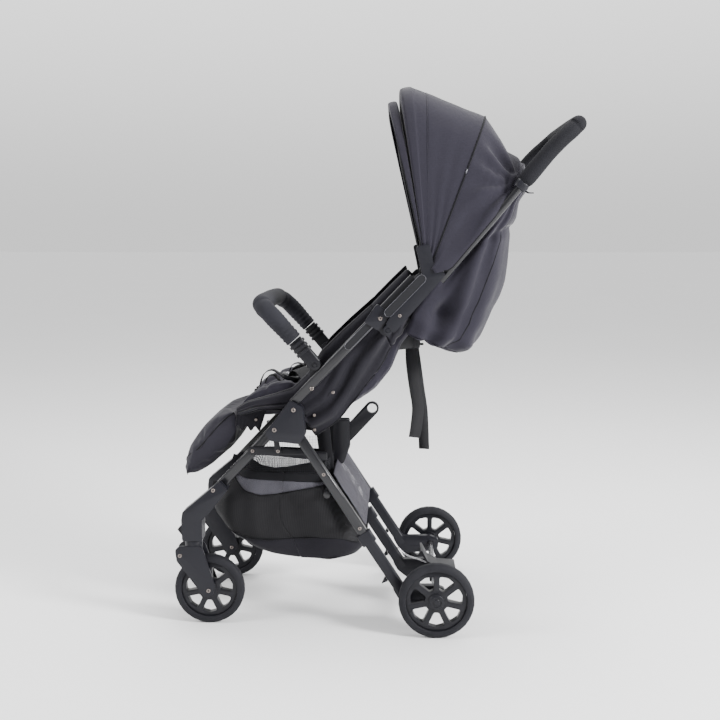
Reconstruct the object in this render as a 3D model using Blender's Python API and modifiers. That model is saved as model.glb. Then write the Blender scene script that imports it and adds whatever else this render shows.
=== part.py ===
"""Compact folding baby stroller. Metres, +Z up, front towards -Y, +X is the stroller's left side.

Side-view points are (y, z) with y measured from the rear axle and z from the ground; the empty
stroller_origin then moves everything so that the overall box is centred on the frame's origin.
"""
import math

import bmesh
import bpy
from mathutils import Matrix, Vector

for existing in list(bpy.data.objects):
    bpy.data.objects.remove(existing)

# Driving dimensions
AXLE_Y = 0.1248             # rear axle behind the middle of the overall box
REAR_RADIUS = 0.075
FRONT_RADIUS = 0.0715
WHEEL_WIDTH = 0.024
REAR_WHEEL_X = 0.2100
FRONT_WHEEL_X = 0.1450
SIDE_X = 0.170              # push tubes and side rear legs
LEG_X = 0.138               # front legs, which fold inside the rear ones
TUBE_WIDTH = 0.016
TUBE_DEPTH = 0.020
GAP = 0.0004                # between pieces that touch

# Side-view stations
FRONT_AXLE = (-0.4600, FRONT_RADIUS)
REAR_AXLE = (0.0, REAR_RADIUS)
CASTER = (-0.4915, 0.1743)      # swivel axis at the collar
LEG_PIVOT = (-0.3200, 0.4080)
REAR_LEG_TOP = (-0.2770, 0.4000)
REAR_LEG_CLIP = (-0.1460, 0.1990)
REAR_LEG_FOOT = (-0.0640, 0.0740)
PUSH_FOOT = (-0.2850, 0.4580)
PUSH_TOP = (-0.0475, 0.7060)
FOLD_PIVOT = (-0.0970, 0.6060)
CANOPY_PIVOT = (-0.0215, 0.7120)
HANDLE_FOOT = (0.0040, 0.7002)
HANDLE_BEND = (0.2140, 0.9520)
HANDLE_TOP = (0.2660, 1.0010)
GRIP_FOOT = (0.1600, 0.8872)
BUMPER_PIVOT = (-0.2400, 0.5370)
BRACE_PIVOT = (-0.3684, 0.3585)
LINK_PIVOT = (-0.3264, 0.3894)
BACK_PIVOT = (-0.2380, 0.4360)
LEVER_PIVOT = (-0.1860, 0.3630)

parts = bpy.data.collections.new("baby_stroller")
tools = bpy.data.collections.new("cutters")
bpy.context.scene.collection.children.link(parts)
bpy.context.scene.collection.children.link(tools)

origin = bpy.data.objects.new("stroller_origin", None)
origin.location = (0.0, AXLE_Y, 0.0)
parts.objects.link(origin)


def finish(name, colour, roughness, metallic=0.0):
    made = bpy.data.materials.new(name)
    made.use_nodes = True
    shader = made.node_tree.nodes["Principled BSDF"]
    shader.inputs["Base Color"].default_value = (*colour, 1.0)
    shader.inputs["Roughness"].default_value = roughness
    shader.inputs["Metallic"].default_value = metallic
    return made


BLACK_TUBE = finish("black_aluminium", (0.012, 0.012, 0.014), 0.28, 0.6)
GREY_PLASTIC = finish("grey_plastic", (0.035, 0.035, 0.042), 0.5)
BLACK_PLASTIC = finish("black_plastic", (0.012, 0.012, 0.014), 0.45)
TYRE_FOAM = finish("tyre_foam", (0.03, 0.03, 0.035), 0.8)
STEEL = finish("steel", (0.55, 0.55, 0.57), 0.3, 1.0)
GRIP_FOAM = finish("grip_foam", (0.015, 0.015, 0.017), 0.85)
GREY_FABRIC = finish("grey_fabric", (0.045, 0.042, 0.055), 0.9)
BLACK_FABRIC = finish("black_fabric", (0.012, 0.012, 0.014), 0.9)
MESH_FABRIC = finish("mesh_fabric", (0.02, 0.02, 0.022), 0.9)


def add(name, data, material, group=parts):
    made = bpy.data.objects.new(name, data)
    if material:
        data.materials.append(material)
    group.objects.link(made)
    made.parent = origin
    return made


def as_mesh(source):
    """Replace a curve object by a closed mesh of the same shape and place."""
    bpy.context.view_layer.update()
    graph = bpy.context.evaluated_depsgraph_get()
    data = bpy.data.meshes.new_from_object(source.evaluated_get(graph))
    work = bmesh.new()
    work.from_mesh(data)
    bmesh.ops.remove_doubles(work, verts=work.verts, dist=1e-6)
    bmesh.ops.recalc_face_normals(work, faces=work.faces)
    work.to_mesh(data)
    work.free()
    name = source.name
    material = source.data.materials[0] if source.data.materials else None
    group = source.users_collection[0]
    place = source.matrix_world.copy()
    bpy.data.objects.remove(source)
    made = bpy.data.objects.new(name, data)
    if material and not data.materials:
        data.materials.append(material)
    group.objects.link(made)
    made.parent = origin
    made.matrix_world = place
    return made


def boolean(target, tool, operation):
    tool.hide_render = True
    tool.display_type = "WIRE"
    step = target.modifiers.new(operation.lower(), "BOOLEAN")
    step.operation = operation
    step.object = tool
    return target


def rounded(points, radius, steps=3):
    """A closed outline whose corners are arcs of the given radius."""
    made = []
    count = len(points)
    for index, corner in enumerate(points):
        here = Vector(corner)
        before = Vector(points[index - 1]) - here
        after = Vector(points[(index + 1) % count]) - here
        angle = before.angle(after)
        reach = min(radius / math.tan(angle / 2), 0.45 * before.length, 0.45 * after.length)
        start = here + before.normalized() * reach
        end = here + after.normalized() * reach
        for step in range(steps + 1):
            t = step / steps
            made.append(start * (1 - t) ** 2 + here * 2 * t * (1 - t) + end * t ** 2)
    return made


def circle(centre, radius, count=16, phase=0.0):
    angles = [phase + math.tau * index / count for index in range(count)]
    return [Vector((centre[0] + radius * math.cos(a), centre[1] + radius * math.sin(a))) for a in angles]


def plate(name, loops, low_x, high_x, material, group=parts):
    """Side-view outline (the first loop) with holes (the others), extruded from low_x to high_x."""
    data = bpy.data.curves.new(name, "CURVE")
    data.dimensions = "2D"
    data.fill_mode = "BOTH"
    data.extrude = abs(high_x - low_x) / 2
    for loop in loops:
        line = data.splines.new("POLY")
        line.points.add(len(loop) - 1)
        for point, (u, v) in zip(line.points, loop):
            point.co = (u, v, 0.0, 1.0)
        line.use_cyclic_u = True
    made = add(name, data, material, group)
    made.location = ((low_x + high_x) / 2, 0.0, 0.0)
    made.rotation_euler = (math.pi / 2, 0.0, math.pi / 2)
    return made


def place_along(made, start, end):
    """Lay an object whose local Z runs along it from start to end, with its local X along world X."""
    start, end = Vector(start), Vector(end)
    along = (end - start).normalized()
    across = Vector((1.0, 0.0, 0.0))
    up = along.cross(across).normalized()
    turn = Matrix((across, up, along)).transposed().to_4x4()
    made.matrix_local = Matrix.Translation((start + end) / 2) @ turn
    return made


def bar(name, x, foot, top, width, depth, material, group=parts, grow=0.0):
    """Flat-oval tube in a side plane, from foot to top; grow widens it all round for a socket."""
    start, end = Vector((x, *foot)), Vector((x, *top))
    half_w, half_d = width / 2 + grow, depth / 2 + grow
    corners = [(half_w, -half_d), (half_w, half_d), (-half_w, half_d), (-half_w, -half_d)]
    data = bpy.data.curves.new(name, "CURVE")
    data.dimensions = "2D"
    data.fill_mode = "BOTH"
    data.extrude = (end - start).length / 2
    loop = rounded(corners, 0.005 + grow)
    line = data.splines.new("POLY")
    line.points.add(len(loop) - 1)
    for point, (u, v) in zip(line.points, loop):
        point.co = (u, v, 0.0, 1.0)
    line.use_cyclic_u = True
    return place_along(add(name, data, material, group), start, end)


def pin(name, x_from, x_to, centre, radius, material=None, group=tools, count=16):
    return as_mesh(plate(name, [circle(centre, radius, count)], x_from, x_to, material, group))


def rod(name, points, radius, material, resolution=2, group=parts):
    """Round bar or tube through points, as one curve with filled caps."""
    data = bpy.data.curves.new(name, "CURVE")
    data.dimensions = "3D"
    data.bevel_depth = radius
    data.bevel_resolution = resolution
    data.use_fill_caps = True
    line = data.splines.new("POLY")
    line.points.add(len(points) - 1)
    for point, place in zip(line.points, points):
        point.co = (*place, 1.0)
    return add(name, data, material, group)


def smooth_path(points, per_span=4):
    """Points of a smooth curve through the given ones (Catmull-Rom)."""
    points = [Vector(p) for p in points]
    padded = [2 * points[0] - points[1], *points, 2 * points[-1] - points[-2]]
    made = []
    for index in range(1, len(padded) - 2):
        a, b, c, d = padded[index - 1:index + 3]
        for step in range(per_span):
            t = step / per_span
            made.append(0.5 * (2 * b + (c - a) * t + (2 * a - 5 * b + 4 * c - d) * t * t
                               + (3 * b - a - 3 * c + d) * t ** 3))
    made.append(points[-1])
    return made


def along(start, end, share):
    return tuple(a + (b - a) * share for a, b in zip(start, end))


# Wheels: a foam tyre on a moulded rim with seven windows

SPOKES = 7
TYRE_DEPTH = 0.0145


def wheel(name, x, axle, radius, bore):
    half = WHEEL_WIDTH / 2
    inner = radius - TYRE_DEPTH
    crown = [(half - 0.006, radius), (half - 0.0015, radius - 0.004), (half, radius - 0.009), (half, inner)]
    section = [*crown, *[(-u, v) for u, v in reversed(crown)]]
    data = bpy.data.meshes.new(name + "_tyre")
    work = bmesh.new()
    ring = [work.verts.new((v * math.cos(math.pi / 32), v * math.sin(math.pi / 32), u)) for u, v in section]
    for index in range(len(ring)):
        work.edges.new((ring[index], ring[(index + 1) % len(ring)]))
    work.to_mesh(data)
    work.free()
    tyre = add(name + "_tyre", data, TYRE_FOAM)
    turn = tyre.modifiers.new("turn", "SCREW")
    turn.steps = turn.render_steps = 32
    turn.use_merge_vertices = True
    turn.merge_threshold = 0.00005
    turn.use_normal_flip = True
    tyre.location = (x, *axle)
    tyre.rotation_euler = (0.0, math.pi / 2, 0.0)

    rim_radius = inner - GAP
    low, high = 0.023, rim_radius - 0.009
    web = 0.0055
    windows = []
    for index in range(SPOKES):
        middle = math.pi / 2 + math.tau * (index + 0.5) / SPOKES
        outer = math.pi / SPOKES - math.asin(web / high)
        short = math.pi / SPOKES - math.asin(web / low)
        polar = [(low, -short), (high, -outer), (high * 1.03, 0.0), (high, outer), (low, short)]
        corners = [(axle[0] + r * math.cos(middle + a), axle[1] + r * math.sin(middle + a)) for r, a in polar]
        windows.append(rounded(corners, 0.004, 2))
    rim = as_mesh(plate(name + "_rim", [circle(axle, rim_radius, 32), *windows], x - 0.008, x + 0.008,
                        BLACK_PLASTIC))
    boolean(rim, pin(name + "_hub", x - half, x + half, axle, 0.0165, count=20), "UNION")
    boolean(rim, pin(name + "_bore", x - 0.02, x + 0.02, axle, bore), "DIFFERENCE")


for side, word in ((1, "left"), (-1, "right")):
    wheel("rear_" + word, side * REAR_WHEEL_X, REAR_AXLE, REAR_RADIUS, 0.0066)
    wheel("front_" + word, side * FRONT_WHEEL_X, FRONT_AXLE, FRONT_RADIUS, 0.0046)


# Front legs with their swivelling casters

def front_leg(side, word):
    x = side * LEG_X
    foot = along(LEG_PIVOT, (-0.4560, 0.2640), 0.93)
    leg = as_mesh(bar("front_leg_tube_" + word, x, foot, (-0.3130, 0.4154), TUBE_WIDTH, TUBE_DEPTH, BLACK_TUBE))
    boolean(leg, pin("leg_pin_hole_" + word, side * 0.12, side * 0.16, LEG_PIVOT, 0.0044), "DIFFERENCE")

    # Moulded corner: a socket for the leg, running down into the upright swivel barrel
    wheel_x = side * FRONT_WHEEL_X
    cy, cz = CASTER
    shape = [(-0.4340, 0.2980), (-0.4185, 0.2800), (-0.4560, 0.2330), (cy + 0.0205, 0.2180), (cy + 0.0205, cz),
             (cy - 0.0205, cz), (cy - 0.0215, 0.2180), (cy - 0.0190, 0.2340)]
    housing = as_mesh(plate("caster_housing_" + word, [rounded(shape, 0.004, 2)],
                            side * 0.1270, side * 0.1630, GREY_PLASTIC))
    socket = bar("leg_socket_" + word, x, (-0.4480, 0.2725), along(LEG_PIVOT, (-0.4560, 0.2640), 0.70),
                 TUBE_WIDTH, TUBE_DEPTH, None, tools, GAP)
    boolean(housing, as_mesh(socket), "DIFFERENCE")
    stem_hole = rod("stem_hole_" + word, [(wheel_x, cy, cz - 0.01), (wheel_x, cy, cz + 0.031)], 0.0074, None, 3, tools)
    boolean(housing, as_mesh(stem_hole), "DIFFERENCE")

    # Fork: two cheeks, a crown and a stem that turns in the barrel
    cheek = [(-0.5270, 0.1560), (-0.5180, 0.1640), (-0.4720, 0.1640), (-0.4460, 0.0800), (-0.4520, 0.0600),
             (-0.4690, 0.0580), (-0.5240, 0.1330)]
    inside = WHEEL_WIDTH / 2 + 0.0022
    fork = as_mesh(plate("caster_fork_" + word, [rounded(cheek, 0.009)],
                         wheel_x + inside, wheel_x + inside + 0.0042, GREY_PLASTIC))
    other = as_mesh(plate("fork_inner_cheek_" + word, [rounded(cheek, 0.009)],
                          wheel_x - inside - 0.0042, wheel_x - inside, None, tools))
    crown = rod("fork_crown_" + word, [(wheel_x, cy, 0.1475), (wheel_x, cy, cz - 0.0006)], 0.0180, None, 3, tools)
    stem = rod("fork_stem_" + word, [(wheel_x, cy, 0.1600), (wheel_x, cy, cz + 0.029)], 0.0068, None, 2, tools)
    for piece in (other, as_mesh(crown), as_mesh(stem)):
        boolean(fork, piece, "UNION")
    axle = pin("front_axle_" + word, wheel_x - inside - 0.003, wheel_x + inside + 0.003, FRONT_AXLE, 0.0042)
    boolean(fork, axle, "UNION")

    lock = [(cy - 0.0320, 0.1960), (cy - 0.0270, 0.2010), (cy - 0.0220, 0.2080), (cy - 0.0220, 0.1820),
            (cy - 0.0270, 0.1900)]
    plate("swivel_lock_" + word, [rounded(lock, 0.0015, 2)], wheel_x - 0.008, wheel_x + 0.008, BLACK_PLASTIC)


# Side frame: bracket, push tube, rear leg, latch block and the links of the fold

def side_frame(side, word):
    x = side * SIDE_X
    inner, outer = side * 0.1539, side * 0.1835

    shape = [(-0.3390, 0.4010), (-0.2880, 0.4680), (-0.2640, 0.4520), (-0.2590, 0.3980), (-0.2700, 0.3800),
             (-0.3300, 0.3860)]
    bracket = as_mesh(plate("joint_bracket_" + word, [rounded(shape, 0.010)], inner, outer, GREY_PLASTIC))
    leg_pin = pin("leg_pin_" + word, side * 0.1280, side * 0.1600, LEG_PIVOT, 0.0040)
    pin_head = pin("leg_pin_head_" + word, side * 0.1272, side * 0.1294, LEG_PIVOT, 0.0080)
    link_pin = pin("link_pin_" + word, side * 0.1501, side * 0.1600, LINK_PIVOT, 0.0022)
    for piece in (leg_pin, pin_head, link_pin):
        boolean(bracket, piece, "UNION")

    push_foot = along(PUSH_FOOT, PUSH_TOP, 0.006)
    bar("lower_push_tube_" + word, x, push_foot, PUSH_TOP, TUBE_WIDTH, TUBE_DEPTH, BLACK_TUBE)
    socket = bar("push_socket_" + word, x, PUSH_FOOT, along(PUSH_FOOT, PUSH_TOP, 0.2), TUBE_WIDTH, TUBE_DEPTH,
                 None, tools, GAP)
    boolean(bracket, as_mesh(socket), "DIFFERENCE")
    leg_top = along(REAR_LEG_TOP, REAR_LEG_CLIP, 0.03)
    bar("rear_leg_tube_" + word, x, REAR_LEG_CLIP, leg_top, TUBE_WIDTH, TUBE_DEPTH, BLACK_TUBE)
    socket = bar("rear_leg_socket_" + word, x, REAR_LEG_TOP, along(REAR_LEG_TOP, REAR_LEG_CLIP, 0.4), TUBE_WIDTH,
                 TUBE_DEPTH, None, tools, GAP)
    boolean(bracket, as_mesh(socket), "DIFFERENCE")

    # Latch block: clamps the push tube, with a rear lug that the handle arm turns on
    body = [(-0.1440, 0.6210), (-0.1190, 0.6560), (-0.0940, 0.6410), (-0.1000, 0.6230), (-0.1160, 0.6040)]
    lug = [(-0.1300, 0.6200), (-0.1050, 0.6290), (-0.0870, 0.6110), (-0.0940, 0.5930), (-0.1080, 0.5950)]
    block = as_mesh(plate("latch_block_" + word, [rounded(body, 0.005)], side * 0.1590, side * 0.1812,
                          GREY_PLASTIC))
    boolean(block, as_mesh(plate("latch_lug_" + word, [rounded(lug, 0.006)], side * 0.1590, side * 0.1735, None,
                                 tools)), "UNION")
    boolean(block, pin("fold_pin_" + word, side * 0.1700, side * 0.1885, FOLD_PIVOT, 0.0034), "UNION")
    tube_hole = bar("block_hole_" + word, x, along(PUSH_FOOT, PUSH_TOP, 0.4), PUSH_TOP, TUBE_WIDTH, TUBE_DEPTH,
                    None, tools, GAP)
    boolean(block, as_mesh(tube_hole), "DIFFERENCE")

    # Hub piece of the handle: long arm down to the latch block, stub up for the canopy bow
    shape = [(-0.1020, 0.6170), (-0.0870, 0.6420), (-0.0310, 0.7030), (-0.0360, 0.7300), (-0.0440, 0.7670),
             (-0.0180, 0.7720), (-0.0110, 0.7360), (0.0140, 0.7140), (-0.0860, 0.5990)]
    hub = as_mesh(plate("handle_hub_" + word, [rounded(shape, 0.006)], side * 0.1742, side * 0.1868,
                        GREY_PLASTIC))
    eye = pin("hub_eye_" + word, side * 0.1742, side * 0.1868, FOLD_PIVOT, 0.0090)
    eye_hole = pin("hub_eye_hole_" + word, side * 0.1700, side * 0.1950, FOLD_PIVOT, 0.0038)
    bow_pin = pin("bow_pin_" + word, side * 0.1380, side * 0.1800, CANOPY_PIVOT, 0.0040)
    boolean(hub, eye, "UNION")
    boolean(hub, eye_hole, "DIFFERENCE")
    boolean(hub, bow_pin, "UNION")
    tube_hole = bar("hub_socket_" + word, x, along(HANDLE_FOOT, HANDLE_BEND, -0.003), HANDLE_BEND, TUBE_WIDTH,
                    TUBE_DEPTH, None, tools, GAP)
    boolean(hub, as_mesh(tube_hole), "DIFFERENCE")

    # Bumper bar mount on the push tube and the socket that turns on it
    by, bz = BUMPER_PIVOT
    saddle = [(by - 0.010, bz - 0.036), (by - 0.012, bz + 0.004), (by + 0.002, bz + 0.012), (by + 0.012, bz),
              (by + 0.018, bz - 0.010)]
    mount = as_mesh(plate("bumper_mount_" + word, [rounded(saddle, 0.006)], side * 0.1542, side * 0.1614,
                          BLACK_PLASTIC))
    boolean(mount, pin("bumper_pin_" + word, side * 0.1580, side * 0.1790, BUMPER_PIVOT, 0.0040), "UNION")
    socket = as_mesh(bar("bumper_socket_" + word, x, BUMPER_PIVOT, (-0.2800, 0.5838), 0.0156, 0.0280,
                         BLACK_PLASTIC))
    boolean(socket, pin("bumper_eye_" + word, side * 0.1622, side * 0.1778, BUMPER_PIVOT, 0.0110), "UNION")
    boolean(socket, pin("bumper_eye_hole_" + word, side * 0.15, side * 0.19, BUMPER_PIVOT, 0.0044), "DIFFERENCE")

    # Side brace from the front leg, and the short curved link that lifts it as the frame folds
    a, b = BRACE_PIVOT, (-0.2227, 0.3474)
    shape = [(a[0] - 0.010, a[1] - 0.008), (a[0] - 0.010, a[1] + 0.009), (a[0] + 0.04, a[1] + 0.0085),
             (b[0] + 0.004, b[1] + 0.009), (b[0] + 0.004, b[1] - 0.009), (a[0] + 0.04, a[1] - 0.0095)]
    plate("side_brace_" + word, [rounded(shape, 0.004, 2)], side * 0.1466, side * 0.1496, BLACK_PLASTIC)
    c, d = LINK_PIVOT, (-0.3167, 0.3592)
    shape = [(c[0] - 0.006, c[1] + 0.003), (c[0] + 0.003, c[1] + 0.007), (c[0] + 0.0115, c[1] - 0.010),
             (d[0] + 0.007, d[1] - 0.003), (d[0] - 0.002, d[1] - 0.007), (d[0] - 0.0065, d[1] + 0.002),
             (c[0] + 0.001, c[1] - 0.012)]
    hole = circle(LINK_PIVOT, 0.0026, 10)
    plate("curved_link_" + word, [rounded(shape, 0.003, 2), hole], side * 0.1503, side * 0.1532, BLACK_PLASTIC)


def rear_foot(x, name):
    """Lower sleeve with its clip collar, and the foot that holds the rear axle."""
    start = along(REAR_LEG_CLIP, REAR_LEG_FOOT, 0.004)
    foot = as_mesh(bar(name, x, REAR_LEG_FOOT, start, 0.0165, 0.0225, GREY_PLASTIC))
    collar_end = along(REAR_LEG_CLIP, REAR_LEG_FOOT, 0.17)
    boolean(foot, as_mesh(bar(name + "_collar", x, collar_end, start, 0.0165, 0.0310, None, tools)), "UNION")
    shape = [(-0.0900, 0.0930), (-0.0560, 0.0920), (0.0000, 0.0930), (0.0190, 0.0860), (0.0190, 0.0640),
             (0.0000, 0.0570), (-0.0560, 0.0520), (-0.0760, 0.0680)]
    block = as_mesh(plate(name + "_block", [rounded(shape, 0.010)], x - 0.0081, x + 0.0081, None, tools))
    boolean(foot, block, "UNION")
    boolean(foot, pin(name + "_bore", x - 0.02, x + 0.02, REAR_AXLE, 0.0064), "DIFFERENCE")


for side, word in ((1, "left"), (-1, "right")):
    front_leg(side, word)
    side_frame(side, word)
    rear_foot(side * SIDE_X, "rear_foot_" + word)
rear_foot(0.0, "rear_foot_centre")
bar("centre_leg_tube", 0.0, REAR_LEG_CLIP, (-0.2090, 0.2950), TUBE_WIDTH, TUBE_DEPTH, BLACK_TUBE)
rod("rear_axle", [(-0.2215, *REAR_AXLE), (0.2215, *REAR_AXLE)], 0.0060, STEEL)
rod("cross_bar", [(-0.1612, -0.2185, 0.2725), (0.1612, -0.2185, 0.2725)], 0.0075, BLACK_TUBE)

# Centre post in a channel shape, with the ring-ended release lever turning in its slot
post = as_mesh(plate("centre_post", [rounded([(-0.2180, 0.3030), (-0.2140, 0.3990), (-0.1800, 0.3990),
                                              (-0.1790, 0.3400), (-0.1930, 0.3030)], 0.004, 2)],
                     -0.0115, 0.0115, BLACK_PLASTIC))
slot = as_mesh(plate("post_slot", [[(-0.2020, 0.3100), (-0.2020, 0.4200), (-0.1500, 0.4200), (-0.1500, 0.3100)]],
                     -0.0070, 0.0070, None, tools))
boolean(post, slot, "DIFFERENCE")
boolean(post, pin("lever_pin", -0.0100, 0.0100, LEVER_PIVOT, 0.0030), "UNION")
ring_centre = (-0.1320, 0.4220)
lever_line = Vector(ring_centre) - Vector(LEVER_PIVOT)
lever_up = Vector((-lever_line.y, lever_line.x)).normalized()
lever_angle = math.atan2(lever_line.y, lever_line.x)
ring_end = [Vector(ring_centre) + 0.0145 * Vector((math.cos(lever_angle + a), math.sin(lever_angle + a)))
            for a in [math.pi * (index / 8 - 0.5) for index in range(9)]]
base_end = [Vector(LEVER_PIVOT) + 0.0140 * Vector((math.cos(lever_angle + a), math.sin(lever_angle + a)))
            for a in [math.pi * (index / 8 + 0.5) for index in range(9)]]
plate("ring_lever", [ring_end + base_end, circle(ring_centre, 0.0103, 20), circle(LEVER_PIVOT, 0.0034, 12)],
      -0.0062, 0.0062, BLACK_PLASTIC)

# Brake pedal: a bent plate that rocks on the rear axle beside the centre foot
pedal_line = [(-0.0250, 0.1310), (-0.0130, 0.1080), (0.0090, 0.0960), (0.0460, 0.0940), (0.0460, 0.0900),
              (0.0110, 0.0900), (0.0070, 0.0640), (-0.0080, 0.0640), (-0.0160, 0.1050), (-0.0290, 0.1290)]
pedal = as_mesh(plate("brake_pedal", [rounded(pedal_line, 0.002, 2)], 0.0100, 0.0700, BLACK_PLASTIC))
boolean(pedal, pin("pedal_bore", 0.0, 0.08, REAR_AXLE, 0.0064), "DIFFERENCE")


# Push handle, grip and bumper bar

def handle_path(first):
    """The U of the handle from a side-view point on its left arm, over the top, and down the other arm."""
    corner = along(HANDLE_BEND, HANDLE_TOP, 0.75)
    half = [(SIDE_X, *first), (SIDE_X, *HANDLE_BEND), (SIDE_X - 0.010, *corner), (SIDE_X - 0.045, *HANDLE_TOP)]
    mirrored = [(-x, y, z) for x, y, z in reversed(half)]
    path = smooth_path([*half[1:], *mirrored[:-1]])
    return [half[0], *path, mirrored[-1]]


rod("push_handle_tube", handle_path(HANDLE_FOOT), 0.0079, BLACK_TUBE, 3)
grip = as_mesh(rod("handle_grip", handle_path(GRIP_FOOT), 0.0158, GRIP_FOAM, 3))
core = rod("grip_core", handle_path(along(HANDLE_FOOT, HANDLE_BEND, 0.5)), 0.0084, None, 3, tools)
boolean(grip, as_mesh(core), "DIFFERENCE")

bumper_half = [(SIDE_X, -0.2807, 0.5846), (SIDE_X, -0.3250, 0.6330), (SIDE_X - 0.020, -0.3430, 0.6480),
               (SIDE_X - 0.060, -0.3490, 0.6540)]
rod("bumper_bar", smooth_path([*bumper_half, *[(-x, y, z) for x, y, z in reversed(bumper_half)]], 3), 0.0185,
    GRIP_FOAM)


# Canopy: three bows that turn on the hub pins, and the panels sewn to them

CANOPY_WIDTH = 0.181
LAYER = 0.0066


def canopy_point(angle_deg, reach, swing, width, low=0.07):
    """Point of a canopy hoop: angle_deg is its tilt in the side view, reach its length to the top, and swing
    runs from -1 on the right side over 0 at the top to 1 on the left. The hoop is a squared oval."""
    turn = swing * math.pi / 2
    x = width * math.copysign(math.sqrt(abs(math.sin(turn))), swing)
    r = low + (reach - low) * math.sqrt(max(math.cos(turn), 0.0))
    tilt = math.radians(angle_deg)
    return Vector((x, CANOPY_PIVOT[0] + r * math.cos(tilt), CANOPY_PIVOT[1] + r * math.sin(tilt)))


def bow(name, angle_deg, reach, layer):
    root_x = 0.1580 - LAYER * layer
    tilt = math.radians(angle_deg)
    hub = Vector((0.0, *CANOPY_PIVOT))
    out = Vector((0.0, math.cos(tilt), math.sin(tilt)))
    legs = [Vector((root_x, 0, 0)) + hub + out * 0.006, Vector((root_x, 0, 0)) + hub + out * 0.040,
            Vector((0.168, 0, 0)) + hub + out * 0.115]
    swings = [1 - index / 16 for index in range(3, 30)]
    hoop = [canopy_point(angle_deg, reach - 0.008, swing, CANOPY_WIDTH - 0.009) for swing in swings]
    mirrored = [Vector((-p.x, p.y, p.z)) for p in reversed(legs)]
    made = as_mesh(rod(name, [*legs, *hoop, *mirrored], 0.0028, STEEL, 1))
    for side, word in ((1, "left"), (-1, "right")):
        low, high = side * (root_x - 0.0028), side * (root_x + 0.0028)
        boolean(made, pin(name + "_eye_" + word, low, high, CANOPY_PIVOT, 0.0085, count=14), "UNION")
        boolean(made, pin(name + "_hole_" + word, low - 0.002 * side, high + 0.002 * side, CANOPY_PIVOT, 0.0044,
                          count=14), "DIFFERENCE")


VISOR_HOOP = (102.0, 0.3486)        # tilt in the side view, length to the top of the fabric
SECOND_HOOP = (96.0, 0.3730)
REAR_HOOP = (69.7, 0.3300)
HANDLE_HOOP = (48.5, 0.2930)
PANEL_GAP = 0.7                     # degrees between neighbouring panels
bow("visor_bow", *VISOR_HOOP, 0)
bow("second_bow", *SECOND_HOOP, 1)
bow("rear_bow", *REAR_HOOP, 2)


def panel(name, first, last, material, dip=0.0, thickness=0.0016, across=24, rows=3):
    """Fabric between two hoops: an open sheet given thickness. dip pulls its middle inwards."""
    data = bpy.data.meshes.new(name)
    work = bmesh.new()
    bmesh.ops.create_grid(work, x_segments=across, y_segments=rows, size=1.0)
    for vertex in work.verts:
        share = (vertex.co.y + 1) / 2
        angle = first[0] + (last[0] - first[0]) * share
        reach = first[1] + (last[1] - first[1]) * share - dip * math.sin(math.pi * share)
        vertex.co = canopy_point(angle, reach, vertex.co.x * 0.97, CANOPY_WIDTH)
    bmesh.ops.recalc_face_normals(work, faces=work.faces)
    work.to_mesh(data)
    work.free()
    made = add(name, data, material)
    thick = made.modifiers.new("thickness", "SOLIDIFY")
    thick.thickness = thickness
    thick.offset = 0.0
    return made


def beside(hoop, shift):
    return hoop[0] + shift * PANEL_GAP, hoop[1]


panel("canopy_visor", VISOR_HOOP, beside(SECOND_HOOP, 1), GREY_FABRIC, dip=0.012)
panel("canopy_main", SECOND_HOOP, beside(REAR_HOOP, 1), GREY_FABRIC)
panel("canopy_rear", REAR_HOOP, HANDLE_HOOP, GREY_FABRIC, dip=0.006)


# Seat, calf rest, backrest, rear pouch, basket and webbing

seat_base = [(-0.4000, 0.4420), (-0.3850, 0.4640), (-0.3000, 0.4700), (-0.2470, 0.4620), (-0.2400, 0.4300),
             (-0.3000, 0.4260), (-0.3850, 0.4290)]
seat = as_mesh(plate("seat_pad", [rounded(seat_base, 0.008)], -0.1452, 0.1452, GREY_FABRIC))
bolster = [(-0.3950, 0.4450), (-0.3720, 0.4700), (-0.3400, 0.4900), (-0.2850, 0.5350), (-0.2250, 0.5900),
           (-0.2080, 0.5750), (-0.2500, 0.4500)]
for side, word in ((1, "left"), (-1, "right")):
    wing = plate("seat_bolster_" + word, [rounded(bolster, 0.008)], side * 0.1370, side * 0.1448, None, tools)
    boolean(seat, as_mesh(wing), "UNION")

calf = [(-0.4050, 0.4390), (-0.4260, 0.4300), (-0.4650, 0.3940), (-0.5000, 0.3450), (-0.5240, 0.2900),
        (-0.5280, 0.2760), (-0.4900, 0.2990), (-0.4270, 0.3490), (-0.4010, 0.3700), (-0.3990, 0.4180)]
plate("calf_rest", [rounded(calf, 0.010)], -0.1240, 0.1240, GREY_FABRIC)

back = [(-0.2360, 0.4520), (0.0620, 0.7751), (0.0800, 0.7590), (-0.0740, 0.5760), (-0.0950, 0.5250),
        (-0.1290, 0.4820), (-0.1800, 0.4480), (-0.2250, 0.4320)]
plate("backrest", [rounded(back, 0.008)], -0.1340, 0.1340, GREY_FABRIC)

pouch = [(0.1500, 0.8720), (0.1660, 0.8740), (0.1610, 0.8330), (0.1460, 0.7590), (0.1310, 0.6770), (0.1060, 0.6050),
         (0.0750, 0.5640), (0.0490, 0.5570), (-0.0110, 0.5840), (-0.0540, 0.5910), (0.1240, 0.7960)]
plate("rear_pouch", [rounded(pouch, 0.006, 2)], -0.1400, 0.1400, GREY_FABRIC)

strap = [(-0.0690, 0.5700), (-0.0400, 0.5700), (-0.0300, 0.5400), (-0.0140, 0.4400), (-0.0100, 0.3380),
         (-0.0300, 0.3380), (-0.0340, 0.4300), (-0.0560, 0.5560), (-0.0700, 0.5600)]
plate("recline_strap", [rounded(strap, 0.002, 1)], 0.0300, 0.0325, BLACK_FABRIC)

buckle = [(-0.3420, 0.4760), (-0.3400, 0.4880), (-0.3050, 0.4880), (-0.3030, 0.4760)]
plate("harness_buckle", [rounded(buckle, 0.003, 2)], -0.0210, 0.0210, BLACK_PLASTIC)


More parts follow.
